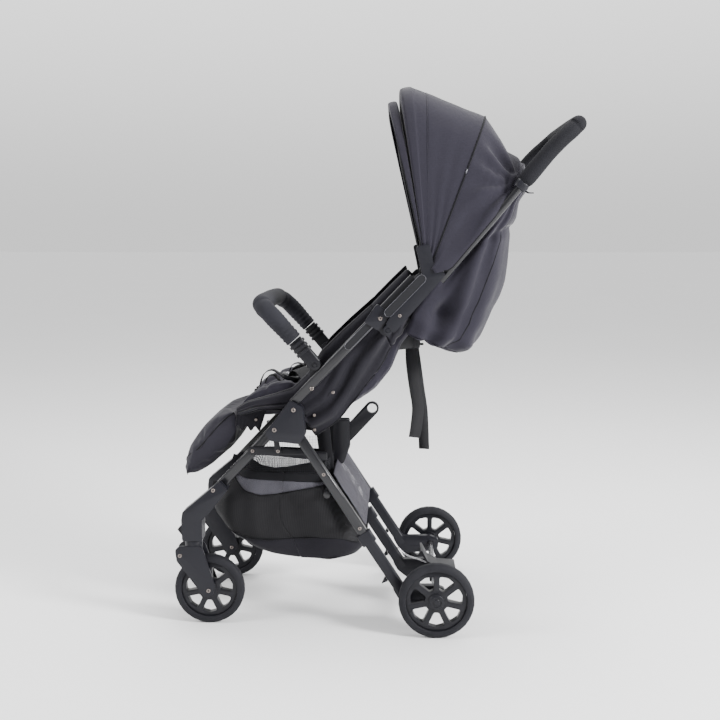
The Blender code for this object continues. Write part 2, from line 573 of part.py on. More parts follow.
def basket():
    """Open tub: four rings of a squared oval, closed by a floor, given thickness."""
    rings = [(-0.4000, -0.2360, 0.3250, 0.3030, 0.1240), (-0.4500, -0.2320, 0.2600, 0.2560, 0.1240),
             (-0.4640, -0.1740, 0.2120, 0.1980, 0.1235), (-0.4380, -0.1460, 0.1700, 0.1500, 0.1180),
             (-0.3900, -0.1650, 0.1380, 0.1200, 0.0950)]
    count = 32
    work = bmesh.new()
    levels = []
    for front, rear, z_front, z_rear, half in rings:
        level = []
        for index in range(count):
            turn = math.tau * index / count
            u = math.copysign(abs(math.cos(turn)) ** 0.45, math.cos(turn))
            v = math.copysign(abs(math.sin(turn)) ** 0.45, math.sin(turn))
            share = (v + 1) / 2
            level.append(work.verts.new((half * u, front + (rear - front) * share,
                                         z_front + (z_rear - z_front) * share)))
        levels.append(level)
    for upper, lower in zip(levels, levels[1:]):
        for index in range(count):
            after = (index + 1) % count
            work.faces.new((upper[index], upper[after], lower[after], lower[index]))
    work.faces.new(levels[-1])
    bmesh.ops.recalc_face_normals(work, faces=work.faces)
    data = bpy.data.meshes.new("basket")
    work.to_mesh(data)
    work.free()
    made = add("basket", data, MESH_FABRIC)
    thick = made.modifiers.new("thickness", "SOLIDIFY")
    thick.thickness = 0.0025
    thick.offset = -1.0 if data.polygons[0].normal.z < 2 else 1.0


basket()
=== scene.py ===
"""Looks of a compact folding baby stroller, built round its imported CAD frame."""
import math

import bmesh
import bpy
from mathutils import Matrix, Vector, noise


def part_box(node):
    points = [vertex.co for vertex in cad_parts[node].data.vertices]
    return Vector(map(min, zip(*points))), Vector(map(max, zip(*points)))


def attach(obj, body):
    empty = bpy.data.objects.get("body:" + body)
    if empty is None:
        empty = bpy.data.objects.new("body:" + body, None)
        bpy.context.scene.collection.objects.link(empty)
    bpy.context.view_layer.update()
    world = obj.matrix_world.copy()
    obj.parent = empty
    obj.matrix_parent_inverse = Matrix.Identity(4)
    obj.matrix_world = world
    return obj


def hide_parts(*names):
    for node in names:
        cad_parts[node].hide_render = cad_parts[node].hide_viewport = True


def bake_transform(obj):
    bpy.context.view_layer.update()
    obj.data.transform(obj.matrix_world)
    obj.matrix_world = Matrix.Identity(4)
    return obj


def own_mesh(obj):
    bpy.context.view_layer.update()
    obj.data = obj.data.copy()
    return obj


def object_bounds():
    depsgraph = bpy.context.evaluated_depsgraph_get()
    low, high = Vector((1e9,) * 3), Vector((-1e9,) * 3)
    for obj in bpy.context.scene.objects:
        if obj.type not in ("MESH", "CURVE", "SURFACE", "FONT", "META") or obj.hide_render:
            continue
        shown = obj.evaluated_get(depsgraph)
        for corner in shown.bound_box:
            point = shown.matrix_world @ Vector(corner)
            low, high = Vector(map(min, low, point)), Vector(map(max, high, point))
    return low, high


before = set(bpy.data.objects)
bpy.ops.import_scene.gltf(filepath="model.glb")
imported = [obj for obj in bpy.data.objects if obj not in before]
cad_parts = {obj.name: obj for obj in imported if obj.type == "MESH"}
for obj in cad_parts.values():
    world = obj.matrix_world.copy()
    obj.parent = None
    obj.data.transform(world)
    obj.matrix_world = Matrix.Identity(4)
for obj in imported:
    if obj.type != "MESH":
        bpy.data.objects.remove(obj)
cad_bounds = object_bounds()

# ---------------------------------------------------------------------------------------------
# Studio: a pale seamless floor, broad soft lights, and a camera just above the canopy's pivot,
# two metres from the stroller's left side. All places below are given from the rear axle: x to
# the stroller's left, y rearwards, z up from the ground.
axle_low, axle_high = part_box("rear_axle")
AXLE = Vector((0.0, (axle_low.y + axle_high.y) / 2, 0.0))


def at(x, y, z):
    """Point given by its distance to the left, behind the rear axle, and above the ground."""
    return Vector((x, y, z)) + AXLE


camera = bpy.data.objects.new("camera", bpy.data.cameras.new("camera"))
bpy.context.scene.collection.objects.link(camera)
camera.location = at(2.1135, -0.0819, 0.7803)
camera.rotation_mode = "QUATERNION"
camera.rotation_quaternion = Vector((-0.99217, -0.03570, -0.11969)).to_track_quat("-Z", "Y")
camera.data.lens = 50.06
camera.data.sensor_width = 36.0
camera.data.clip_start = 0.05
bpy.context.scene.camera = camera

world = bpy.data.worlds.new("studio")
bpy.context.scene.world = world
world.use_nodes = True
sky = world.node_tree
sky.nodes["Background"].inputs["Color"].default_value = (1.0, 1.0, 1.0, 1.0)
facing = sky.nodes.new("ShaderNodeTexCoord")
parted = sky.nodes.new("ShaderNodeSeparateXYZ")
level = sky.nodes.new("ShaderNodeMapRange")
rise = sky.nodes.new("ShaderNodeMapRange")
for ramp, settings in ((level, (("From Min", 0.9), ("From Max", -0.9), ("To Min", 0.45), ("To Max", 1.85))),
                       (rise, (("From Min", 0.0), ("From Max", 0.30), ("To Min", 1.00)))):
    ramp.interpolation_type = "SMOOTHSTEP"
    for socket, value in settings:
        ramp.inputs[socket].default_value = value
for source, goal in ((facing.outputs["Generated"], parted.inputs[0]),
                     (parted.outputs["X"], level.inputs["Value"]),
                     (parted.outputs["Z"], rise.inputs["Value"]),
                     (level.outputs["Result"], rise.inputs["To Max"]),
                     (rise.outputs["Result"], sky.nodes["Background"].inputs["Strength"])):
    sky.links.new(source, goal)


def soft_light(name, place, target, size, power):
    lamp = bpy.data.lights.new(name, "AREA")
    lamp.shape = "DISK"
    lamp.size = size
    lamp.energy = power
    made = bpy.data.objects.new(name, lamp)
    bpy.context.scene.collection.objects.link(made)
    made.location = place
    made.rotation_mode = "QUATERNION"
    made.rotation_quaternion = (Vector(target) - Vector(place)).to_track_quat("-Z", "Y")


middle = (cad_bounds[0] + cad_bounds[1]) / 2
soft_light("rear_key", (1.6, 2.7, 1.9), middle, 0.9, 230.0)
soft_light("front_key", (1.2, -2.9, 1.9), middle, 1.3, 75.0)
soft_light("top", (-0.4, 0.2, 3.2), middle, 1.8, 70.0)


class Socket:
    """One output of a shader node. Arithmetic on it adds Math nodes."""

    def __init__(self, surface, link):
        self.surface = surface
        self.link = link

    def _math(self, operation, first, second=0.0):
        return self.surface.node("ShaderNodeMath", {"operation": operation}, {0: first, 1: second})

    def __add__(self, other):
        return self._math("ADD", self, other)

    def __sub__(self, other):
        return self._math("SUBTRACT", self, other)

    def __mul__(self, other):
        return self._math("MULTIPLY", self, other)

    def __truediv__(self, other):
        return self._math("DIVIDE", self, other)

    def __lt__(self, other):
        return self._math("LESS_THAN", self, other)

    def __abs__(self):
        return self._math("ABSOLUTE", self)

    def __rsub__(self, other):
        return self._math("SUBTRACT", other, self)

    def __rtruediv__(self, other):
        return self._math("DIVIDE", other, self)

    __radd__ = __add__
    __rmul__ = __mul__

    def sine(self):
        return self._math("SINE", self)

    def clipped(self, low, high):
        """0 below low, 1 above high, and a straight rise between."""
        return self.surface.node("ShaderNodeMapRange", None,
                                 {"Value": self, "From Min": low, "From Max": high})


class Surface:
    """A material built round one Principled shader."""

    def __init__(self, name, **fixed):
        self.material = bpy.data.materials.new(name)
        self.material.use_nodes = True
        self.tree = self.material.node_tree
        self.shader = self.tree.nodes["Principled BSDF"]
        self.set(**fixed)

    def set(self, **values):
        """Values or links for the shader's own sockets; underscores stand for spaces."""
        for name, value in values.items():
            self._fill(self.shader.inputs[name.replace("_", " ")], value)
        return self

    def _fill(self, socket, value):
        if isinstance(value, Socket):
            self.tree.links.new(value.link, socket)
        elif isinstance(value, tuple) and len(value) == 3 and socket.type == "RGBA":
            socket.default_value = (*value, 1.0)
        else:
            socket.default_value = value

    def node(self, kind, settings=None, inputs=None, output=0):
        """Any node: its settings first, then the values or links of its sockets."""
        made = self.tree.nodes.new(kind)
        for name, value in (settings or {}).items():
            setattr(made, name, value)
        for key, value in (inputs or {}).items():
            self._fill(made.inputs[key], value)
        return Socket(self, made.outputs[output])

    def place(self):
        return self.node("ShaderNodeTexCoord", output="Object")

    def noise(self, scale, detail=2.0, roughness=0.5, vector=None):
        return self.node("ShaderNodeTexNoise", None, {"Vector": vector or self.place(), "Scale": scale,
                                                      "Detail": detail, "Roughness": roughness})

    def axes(self):
        split = self.node("ShaderNodeSeparateXYZ", None, {0: self.place()}).link.node
        return [Socket(self, out) for out in split.outputs]

    def mix(self, factor, first, second):
        """A colour between first, where factor is 0, and second, where it is 1."""
        made = self.node("ShaderNodeMix", {"data_type": "RGBA"}, {0: factor}).link.node
        self._fill(made.inputs[6], first)
        self._fill(made.inputs[7], second)
        return Socket(self, made.outputs[2])

    def bump(self, height, distance, strength=1.0):
        return self.node("ShaderNodeBump", None, {"Height": height, "Distance": distance,
                                                  "Strength": strength})


floor_paper = Surface("floor_paper", Roughness=0.9)
floor_paper.set(Base_Color=floor_paper.mix(floor_paper.noise(0.8), (0.90, 0.90, 0.905), (0.93, 0.93, 0.93)))
FLOOR_HALF = 60
floor_mesh = bpy.data.meshes.new("floor")
floor_mesh.from_pydata([(x * FLOOR_HALF, y * FLOOR_HALF, 0) for x, y in ((-1, -1), (1, -1), (1, 1), (-1, 1))],
                       [], [(0, 1, 2, 3)])
floor_mesh.materials.append(floor_paper.material)
floor = bpy.data.objects.new("floor", floor_mesh)
bpy.context.scene.collection.objects.link(floor)

# ---------------------------------------------------------------------------------------------
# Wheels: closed-cell foam tyres pressed on moulded nylon rims with seven spokes. Rim and tyre
# keep their CAD shape. A dished cap with a small raised middle closes each rear hub.
SIDES = ((1, "left"), (-1, "right"))


def moulded(name, colour, roughness, grain=700.0, depth=0.00010):
    """Fine-grained injection moulding, with the faint cloudiness of a large part."""
    made = Surface(name, Specular_IOR_Level=0.22)
    cloud = made.noise(11.0, 3.0)
    grey = made.noise(grain, 3.0)
    pale = tuple(c * 1.35 + 0.002 for c in colour)
    made.set(Base_Color=made.mix(cloud * 0.7 + grey * 0.3, colour, pale),
             Roughness=roughness - 0.07 + cloud * 0.14, Normal=made.bump(grey, depth, 0.6))
    return made.material


def dress(node, material, edge=0.0012, segments=2):
    """Give a CAD node its finish and a small rounded edge."""
    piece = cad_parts[node]
    piece.data.materials.clear()
    piece.data.materials.append(material)
    for face in piece.data.polygons:
        face.use_smooth = True
    weld = piece.modifiers.new("weld", "WELD")
    weld.merge_threshold = 0.00002
    bevel = piece.modifiers.new("edge", "BEVEL")
    bevel.width = edge
    bevel.segments = segments
    bevel.limit_method = "ANGLE"
    bevel.angle_limit = math.radians(38)
    bevel.harden_normals = True
    return piece


def rounds(count, rings):
    """Faces that join each ring of points to the next, all the way round."""
    return [(ring * count + step, ring * count + (step + 1) % count,
             (ring + 1) * count + (step + 1) % count, (ring + 1) * count + step)
            for ring in range(rings) for step in range(count)]


def place_piece(name, points, faces, material):
    data = bpy.data.meshes.new(name)
    data.from_pydata([tuple(p) for p in points], [], faces)
    data.materials.append(material)
    for face in data.polygons:
        face.use_smooth = True
    made = bpy.data.objects.new(name, data)
    bpy.context.scene.collection.objects.link(made)
    return made


def fit(piece, body):
    """Fix a piece to its body."""
    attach(piece, body)
    return piece


def turned(name, profile, centre, side, material, steps=28):
    """Part turned about the x axis: profile is (radius, height outwards) from rim to middle."""
    points = []
    for radius, height in profile:
        for step in range(steps):
            turn = math.tau * step / steps
            across = Vector((side * height, radius * math.cos(turn), radius * math.sin(turn)))
            points.append(centre + across)
    last = (len(profile) - 1) * steps
    faces = rounds(steps, len(profile) - 1) + [tuple(range(last, last + steps))]
    if side < 0:
        faces = [tuple(reversed(face)) for face in faces]
    made = place_piece(name, points, faces, material)
    split = made.modifiers.new("edges", "EDGE_SPLIT")
    split.split_angle = math.radians(50)
    return made


def tyre_foam():
    """Dull foam with a scuffed tread."""
    made = Surface("tyre_foam", Specular_IOR_Level=0.22)
    pores = made.noise(1400.0, 2.0)
    dust = made.noise(26.0, 5.0, 0.65)
    scuffed = dust.clipped(0.45, 0.75) * 0.6
    made.set(Base_Color=made.mix(scuffed, (0.0095, 0.0095, 0.0125), (0.021, 0.021, 0.025)),
             Roughness=0.62 + dust * 0.2, Normal=made.bump(pores, 0.00015, 0.7))
    return made.material


def plated(name, colour, roughness):
    made = Surface(name, Metallic=1.0)
    rubbed = made.noise(420.0, 3.0)
    made.set(Base_Color=made.mix(rubbed, colour, tuple(c * 0.7 for c in colour)),
             Roughness=roughness + rubbed * 0.15, Normal=made.bump(rubbed, 0.00003, 0.4))
    return made.material


TYRE = tyre_foam()
RIM = moulded("rim_nylon", (0.0070, 0.0070, 0.0095), 0.36)
# Plated steel for the axle. It also makes the bright strip along the centre foot, which is a painted
# highlight.
STEEL_AND_EDGE_HIGHLIGHT = plated("plated_steel_and_edge_highlight", (0.62, 0.62, 0.64), 0.20)
CAP = [(0.0150, -0.0010), (0.0150, 0.0016), (0.0142, 0.0024), (0.0100, 0.0030), (0.0094, 0.0018),
       (0.0066, 0.0018), (0.0060, 0.0026), (0.0040, 0.0030)]
for side, word in SIDES:
    for end in ("front", "rear"):
        wheel = f"{end}_wheel_{word}"
        dress(f"{end}_{word}_tyre", TYRE, 0.0015, 3)
        dress(f"{end}_{word}_rim", RIM, 0.0009)
        low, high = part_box(f"{end}_{word}_rim")
        hub = (low + high) / 2
        if end == "rear":
            outer = high.x if side > 0 else low.x
            cap = turned(f"hub_cap_{word}", CAP, Vector((outer - side * 0.0012, hub.y, hub.z)), side, RIM)
            fit(cap, wheel)

# ---------------------------------------------------------------------------------------------
# Casters and front legs: grey fork and corner housing with a swivel lock on its nose, black
# oval tube above. The fork turns in the housing, and the wheel's plated bolt ends show on it.
GREY_PLASTIC = moulded("grey_plastic", (0.0078, 0.0078, 0.0110), 0.38)
BLACK_PLASTIC = moulded("black_plastic", (0.0055, 0.0055, 0.0075), 0.38)


def coated_tube():
    """Semi-gloss powder coat over aluminium tube."""
    made = Surface("black_coated_tube", Specular_IOR_Level=0.30, Coat_Roughness=0.12)
    peel = made.noise(300.0, 2.0)
    handled = made.noise(6.0, 4.0)
    made.set(Base_Color=made.mix(handled, (0.0062, 0.0062, 0.0078), (0.0095, 0.0095, 0.0120)),
             Roughness=0.22 + handled * 0.16, Coat_Weight=0.25, Normal=made.bump(peel, 0.00004, 0.5))
    return made.material


BLACK_TUBE = coated_tube()
RIVET = plated("rivet_steel", (0.30, 0.26, 0.24), 0.26)
RIVET_HEAD = [(0.0040, -0.0012), (0.0040, 0.0006), (0.0035, 0.0011), (0.0026, 0.0012), (0.0023, 0.0005),
              (0.0016, 0.0004), (0.0013, -0.0004)]


def rivet(name, side, x, y, z, body, scale=1.0):
    """Tubular rivet: a rolled rim round a shallow hole."""
    profile = [(radius * scale, height * scale) for radius, height in RIVET_HEAD]
    made = turned(name, profile, at(side * x, y, z), side, RIVET, 20)
    return fit(made, body)


for side, word in SIDES:
    dress(f"caster_housing_{word}", GREY_PLASTIC, 0.0016, 3)
    dress(f"caster_fork_{word}", GREY_PLASTIC, 0.0014, 3)
    dress(f"swivel_lock_{word}", BLACK_PLASTIC, 0.0007)
    dress(f"front_leg_tube_{word}", BLACK_TUBE, 0.0006)
    fork_low, fork_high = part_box(f"caster_fork_{word}")
    fork_outer = max(abs(fork_low.x), abs(fork_high.x))
    fork_inner = min(abs(fork_low.x), abs(fork_high.x))
    rivet(f"fork_bolt_outer_{word}", side, fork_outer, -0.4600, 0.0715, f"caster_{word}", 1.05)
    rivet(f"fork_bolt_inner_{word}", -side, -fork_inner, -0.4600, 0.0715, f"caster_{word}", 1.05)
    rivet(f"fork_pivot_outer_{word}", side, fork_outer, -0.5170, 0.1440, f"caster_{word}")
    housing_low, housing_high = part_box(f"caster_housing_{word}")
    housing_outer = max(abs(housing_low.x), abs(housing_high.x))
    rivet(f"housing_rivet_{word}", side, housing_outer, -0.4470, 0.2800, "front_legs")

# ---------------------------------------------------------------------------------------------
# Side frames: grey joint brackets that hold the push tube and rear leg, a dark filled channel
# in the push tube, the grey latch block and forked hub of the fold, and tubular rivets.
CHANNEL = moulded("channel_strip", (0.008, 0.008, 0.010), 0.60, 420.0, 0.0003)
RAIL = plated("rail_edge", (0.16, 0.16, 0.18), 0.30)


def channel(side, word, name, x, low, high, half, body):
    """Strip with round ends let into a rail, inside a thin bright edge."""
    low = Vector(low)
    high = Vector(high)
    line = (high - low).normalized()
    across = Vector((-line.y, line.x))
    outline = []
    for step in range(13):
        turn = math.pi * (step / 12 - 0.5)
        outline.append(high + half * (line * math.cos(turn) + across * math.sin(turn)))
    for step in range(13):
        turn = math.pi * (step / 12 + 0.5)
        outline.append(low + half * (line * math.cos(turn) + across * math.sin(turn)))
    points = []
    heart = (low + high) / 2
    count = len(outline)
    for share, height in ((1.0, -0.0010), (1.0, 0.0009), (0.0, 0.0009), (0.0, 0.0002)):
        for p in outline:
            inward = 0.0 if share else 0.0007
            nearest = low + line * min(max((p - low).dot(line), 0.0), (high - low).length)
            q = p - (p - nearest).normalized() * inward
            points.append(at(side * (x + height), q.x, q.y))
    points.append(at(side * (x + 0.0002), heart.x, heart.y))
    edge = place_piece(f"{name}_edge_{word}", points[:-1], rounds(count, 3), RAIL)
    fit(edge, body)
    start = 3 * count
    fill = place_piece(f"{name}_fill_{word}", points[start:],
                       [(step, (step + 1) % count, count) for step in range(count)], CHANNEL)
    if side < 0:
        fill.data.flip_normals()
    fit(fill, body)


for side, word in SIDES:
    dress(f"joint_bracket_{word}", GREY_PLASTIC, 0.0016, 3)
    dress(f"latch_block_{word}", GREY_PLASTIC, 0.0016, 3)
    dress(f"handle_hub_{word}", GREY_PLASTIC, 0.0014, 3)
    dress(f"lower_push_tube_{word}", BLACK_TUBE, 0.0006)
    dress(f"rear_leg_tube_{word}", BLACK_TUBE, 0.0006)
    dress(f"bumper_mount_{word}", BLACK_PLASTIC, 0.0008)
    dress(f"side_brace_{word}", BLACK_PLASTIC, 0.0006)
    dress(f"curved_link_{word}", BLACK_PLASTIC, 0.0006)
    channel(side, word, "push_channel", 0.1780, (-0.1740, 0.5740), (-0.1300, 0.6190), 0.0076, "frame")
    channel(side, word, "hub_channel", 0.1868, (-0.0960, 0.6400), (-0.0330, 0.7045), 0.0086, "handle")
    brace = f"side_brace_{word}"
    link = f"curved_link_{word}"
    for name, x, y, z, body, scale in (
            ("bracket_rivet_upper", 0.1835, -0.2820, 0.4480, "frame", 1.1),
            ("bracket_rivet_lower", 0.1835, -0.3200, 0.4080, "frame", 1.1),
            ("push_tube_rivet", 0.1780, -0.2460, 0.4900, "frame", 1.0),
            ("latch_rivet", 0.1812, -0.1120, 0.6280, "frame", 1.0),
            ("hub_rivet", 0.1868, -0.0745, 0.6340, "handle", 0.85),
            ("rear_leg_rivet_upper", 0.1780, -0.2235, 0.3180, "frame", 0.9),
            ("rear_leg_rivet_lower", 0.1780, -0.1520, 0.2090, "frame", 0.9),
            ("brace_rivet", 0.1496, -0.3684, 0.3585, brace, 0.9),
            ("link_rivet_upper", 0.1532, -0.3264, 0.3894, link, 0.7),
            ("link_rivet_lower", 0.1532, -0.3167, 0.3592, link, 0.9)):
        rivet(f"{name}_{word}", side, x, y, z, body, scale)

# ---------------------------------------------------------------------------------------------
# Rear end: grey feet with clip collars on three legs, a plated axle through them, a black foot
# brake with a plated link drawn along the centre foot's top edge as a painted highlight, and the
# ring-ended lever that turns in the centre post.


def face_outwards(made):
    work = bmesh.new()
    work.from_mesh(made.data)
    bmesh.ops.recalc_face_normals(work, faces=work.faces)
    work.to_mesh(made.data)
    work.free()
    return made


def swept(name, path, ring, material, side_of=None, capped=True):
    """Skin along a path. ring(t) lists (across, out) offsets at share t of the way along it.
    side_of(t) is the across direction there; without it the section keeps level."""
    points = []
    count = len(ring(0.0))
    for index, centre in enumerate(path):
        before = path[max(index - 1, 0)]
        after = path[min(index + 1, len(path) - 1)]
        along = (after - before).normalized()
        share = index / (len(path) - 1)
        across = Vector(side_of(share)) if side_of else along.cross(Vector((0.0, 0.6, 0.8)))
        across = (across - along * across.dot(along)).normalized()
        out = across.cross(along)
        points += [centre + across * a + out * b for a, b in ring(share)]
    faces = rounds(count, len(path) - 1)
    if capped:
        faces.append(tuple(reversed(range(count))))
        faces.append(tuple(range((len(path) - 1) * count, len(path) * count)))
    return face_outwards(place_piece(name, points, faces, material))


def curve(controls, per_span=8):
    """Smooth line through the control points."""
    ends = [controls[0] * 2 - controls[1], *controls, controls[-1] * 2 - controls[-2]]
    line = []
    for a, b, c, d in zip(ends, ends[1:], ends[2:], ends[3:]):
        for step in range(per_span):
            t = step / per_span
            line.append(0.5 * (2 * b + (c - a) * t + (2 * a - 5 * b + 4 * c - d) * t * t
                               + (3 * b - a - 3 * c + d) * t ** 3))
    return line + [controls[-1]]


def circle(radius, count=12):
    return [(radius * math.cos(math.tau * k / count), radius * math.sin(math.tau * k / count))
            for k in range(count)]


def squared(wide, deep, power, count=24, deep_power=None):
    """Section with soft corners. wide and deep are its half sizes; a lower power is squarer."""
    ring = []
    for step in range(count):
        a = math.tau * step / count
        ring.append((wide * math.copysign(abs(math.cos(a)) ** power, math.cos(a)),
                     deep * math.copysign(abs(math.sin(a)) ** (deep_power or power), math.sin(a))))
    return ring


def ribbon_ring(width, thickness):
    half = width / 2
    deep = thickness / 2
    return [(-half, -deep), (half, -deep), (half, deep), (-half, deep)]


for word in ("left", "centre", "right"):
    dress(f"rear_foot_{word}", GREY_PLASTIC, 0.0014, 3)
dress("centre_leg_tube", BLACK_TUBE, 0.0006)
dress("cross_bar", BLACK_TUBE, 0.0006)
dress("rear_axle", STEEL_AND_EDGE_HIGHLIGHT, 0.0006)
dress("centre_post", BLACK_PLASTIC, 0.0010)
dress("ring_lever", BLACK_PLASTIC, 0.0012, 3)
dress("brake_pedal", BLACK_PLASTIC, 0.0012, 3)
# The plated link runs along the centre foot's top edge to the axle. Its bright strip is both the brake's link
# and a painted highlight of that edge.
link_and_highlight_path = curve([at(0.0040, -0.0760, 0.1180), at(0.0070, -0.0560, 0.1010), at(0.0100, -0.0300, 0.0930),
                   at(0.0100, -0.0080, 0.0850)], 6)
brake_link_and_edge_highlight = swept("brake_link_and_edge_highlight", link_and_highlight_path, lambda t: ribbon_ring(0.008, 0.0016), STEEL_AND_EDGE_HIGHLIGHT,
                   lambda t: (1, 0, 0))
fit(brake_link_and_edge_highlight, "frame")
for x, word in ((0.170, "left"), (0.0, "centre"), (-0.170, "right")):
    catch = []
    for y, z in ((-0.1020, 0.1090), (-0.0960, 0.1000), (-0.1085, 0.0945)):
        catch += [at(x - 0.0040, y, z), at(x + 0.0040, y, z)]
    wedge = [(0, 2, 4), (1, 5, 3), (0, 1, 3, 2), (2, 3, 5, 4), (4, 5, 1, 0)]
    hook = place_piece(f"leg_catch_{word}", catch, wedge, GREY_PLASTIC)
    rounding = hook.modifiers.new("edge", "BEVEL")
    rounding.width = 0.0010
    rounding.segments = 2
    fit(hook, "frame")

# ---------------------------------------------------------------------------------------------
# Push handle: one bent black tube with a long foam grip over its top, closed by a grey clip
# collar at each end of the foam. The foam is cut from extruded sleeve and glued on.
HANDLE_ARM = [(0.170, 0.0040, 0.7002), (0.170, 0.1600, 0.8872), (0.170, 0.2140, 0.9520),
              (0.160, 0.2530, 0.98875), (0.125, 0.2660, 1.0010)]


def foam(name, colour, cells=1500.0):
    """Closed-cell foam: fine pores, dull skin, slightly darker where hands rub."""
    made = Surface(name, Specular_IOR_Level=0.16)
    pores = made.noise(cells, 2.0)
    rubbed = made.noise(17.0, 4.0, 0.6)
    made.set(Base_Color=made.mix(rubbed.clipped(0.35, 0.7), colour, tuple(c * 1.5 for c in colour)),
             Roughness=0.70 + rubbed * 0.18, Normal=made.bump(pores + rubbed * 0.8, 0.00012, 0.7))
    return made.material


GRIP_FOAM = foam("grip_foam", (0.0068, 0.0068, 0.0088))
dress("push_handle_tube", BLACK_TUBE, 0.0005)


def both_sides(arm):
    """Points of the left arm, then their mirror images back down the right."""
    left = [at(*p) for p in arm]
    return left + [Vector((-p.x, p.y, p.z)) for p in reversed(left)]


grip_line = curve(both_sides(HANDLE_ARM[1:]), 12)


def grip_ring(t):
    end = min(t, 1 - t) * 60.0
    radius = 0.0158 * (0.80 + 0.20 * min(end, 1.0) ** 0.5)
    swell = 1.0 + 0.015 * math.sin(t * 41.0) * math.sin(t * 17.0)
    return circle(radius * swell, 20)


def collar_ring(t):
    rim = 0.92 if t in (0.0, 1.0) else 1.0
    return squared(0.0122 * rim, 0.0135 * rim, 0.7, 20)


grip = swept("grip_foam_sleeve", grip_line, grip_ring, GRIP_FOAM)
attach(grip, "handle")
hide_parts("handle_grip")
for side, word in SIDES:
    foot = at(side * 0.170, 0.1600, 0.8872)
    slope = Vector((0.0, 0.1560, 0.1870)).normalized()
    collar = swept(f"grip_collar_{word}", [foot + slope * d for d in (-0.0150, -0.0135, -0.0010, 0.0010)],
                   collar_ring, GREY_PLASTIC)
    fit(collar, "handle")
    lug_path = [foot + slope * d + Vector((0.0, 0.60, -0.80)) * e for d, e in
                ((-0.008, 0.010), (-0.004, 0.020), (0.004, 0.028))]
    lug = swept(f"pouch_hook_{word}", lug_path,
                lambda t: ribbon_ring(0.010 - 0.004 * t, 0.0030 - 0.001 * t), GREY_PLASTIC,
                lambda t: (1, 0, 0))
    fit(lug, "handle")

# ---------------------------------------------------------------------------------------------
# Bumper bar: thick foam over a bent core, pushed into stepped black sockets at both ends. The
# foam cover is gathered in small rings where it meets the sockets.
BUMPER_ARM = [(0.170, -0.2807, 0.5846), (0.170, -0.3250, 0.6330), (0.150, -0.3430, 0.6480),
              (0.110, -0.3490, 0.6540)]
BUMPER_FOAM = foam("bumper_foam", (0.0130, 0.0130, 0.0165))
bumper_line = curve(both_sides(BUMPER_ARM), 26)


def bumper_ring(t):
    end = min(t, 1 - t)
    lip = min(end * 90.0, 1.0) ** 0.5
    near = max(0.0, 1.0 - end / 0.16)
    rings = 0.0011 * near * math.sin(end * 330.0)
    bulk = 0.0182 * (0.86 + 0.14 * lip) + rings - 0.0012 * near
    ring = []
    for a in [math.tau * k / 24 for k in range(24)]:
        ring.append(((bulk + 0.0004 * math.sin(3 * a + t * 60.0)) * math.cos(a),
                     (bulk + 0.0004 * math.sin(2 * a + t * 47.0)) * math.sin(a)))
    return ring


bumper = swept("bumper_foam_sleeve", bumper_line, bumper_ring, BUMPER_FOAM)
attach(bumper, "bumper")
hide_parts("bumper_bar")
for side, word in SIDES:
    dress(f"bumper_socket_{word}", BLACK_PLASTIC, 0.0012, 3)
    foot = at(side * 0.170, -0.2400, 0.5370)
    slope = Vector((0.0, -0.0400, 0.0468)).normalized()
    for number, (start, size) in enumerate(((0.030, 1.06), (0.040, 1.00), (0.050, 1.06))):
        rib = swept(f"socket_rib_{number}_{word}",
                    [foot + slope * (start + d) for d in (0.0, 0.0012, 0.0050, 0.0062)],
                    lambda t: squared(0.0105 * size, 0.0162 * size, 0.6), BLACK_PLASTIC, lambda t: (1, 0, 0))
        fit(rib, "bumper")

# ---------------------------------------------------------------------------------------------
# Canopy: tightly woven grey cloth over three sprung bows that turn on the hub pins. Two narrow
# pleats stand up in front, a broad panel follows, and a rear gusset runs down to the handle.
PIVOT = at(0.0, -0.0215, 0.7120)
CANOPY_HALF = 0.181


def hoop(tilt, reach, swing, half=CANOPY_HALF, low=0.0140):
    """Point of a canopy hoop: tilt in the side view, reach to its top, swing -1 right to 1 left."""
    turn = swing * math.pi / 2
    squarish = (math.sin(turn) ** 4 + math.cos(turn) ** 4) ** 0.25
    x = half * math.sin(turn) / squarish
    r = low + (reach - low) * math.cos(turn) / squarish
    tilt = math.radians(tilt)
    return PIVOT + Vector((x, r * math.cos(tilt), r * math.sin(tilt)))


def woven(name, colour, thread=1500.0, sheen=0.12, slub=0.35, wrinkle=9.0):
    """Plain-woven polyester: two thread directions, fine wrinkles, slight cloudiness, soft sheen."""
    made = Surface(name, Sheen_Weight=sheen, Sheen_Roughness=0.45, Specular_IOR_Level=0.14)
    x, y, z = made.axes()
    warp = ((x * 0.9 + y * 0.7 + z * 0.2) * thread).sine()
    weft = ((x * 0.2 - y * 0.65 + z * 0.95) * thread).sine()
    threads = warp * weft
    cloud = made.noise(8.0, 5.0, 0.6)
    slubs = made.noise(240.0, 2.0)
    crumple = made.noise(20.0, 4.0, 0.55)
    pale = tuple(c * 1.45 + 0.001 for c in colour)
    made.set(Base_Color=made.mix(cloud * 0.65 + slubs * slub + threads * 0.08 - 0.1, colour, pale),
             Roughness=0.72 + cloud * 0.14,
             Normal=made.bump(threads * 0.5 + slubs + crumple * wrinkle, 0.00020, 0.7))
    return made.material


GREY_CLOTH = woven("grey_cloth", (0.0150, 0.0136, 0.0205), wrinkle=15.0)
BLACK_CLOTH = woven("black_cloth", (0.0068, 0.0064, 0.0090), 1300.0, 0.06)
# Black binding tape. The same cloth is also painted shadow in the fold between the two front pleats.
BLACK_TAPE_AND_GAP_SHADE = woven("black_binding_and_gap_shade", (0.0045, 0.0045, 0.0058), 2600.0, 0.05, 0.35, 0.0)


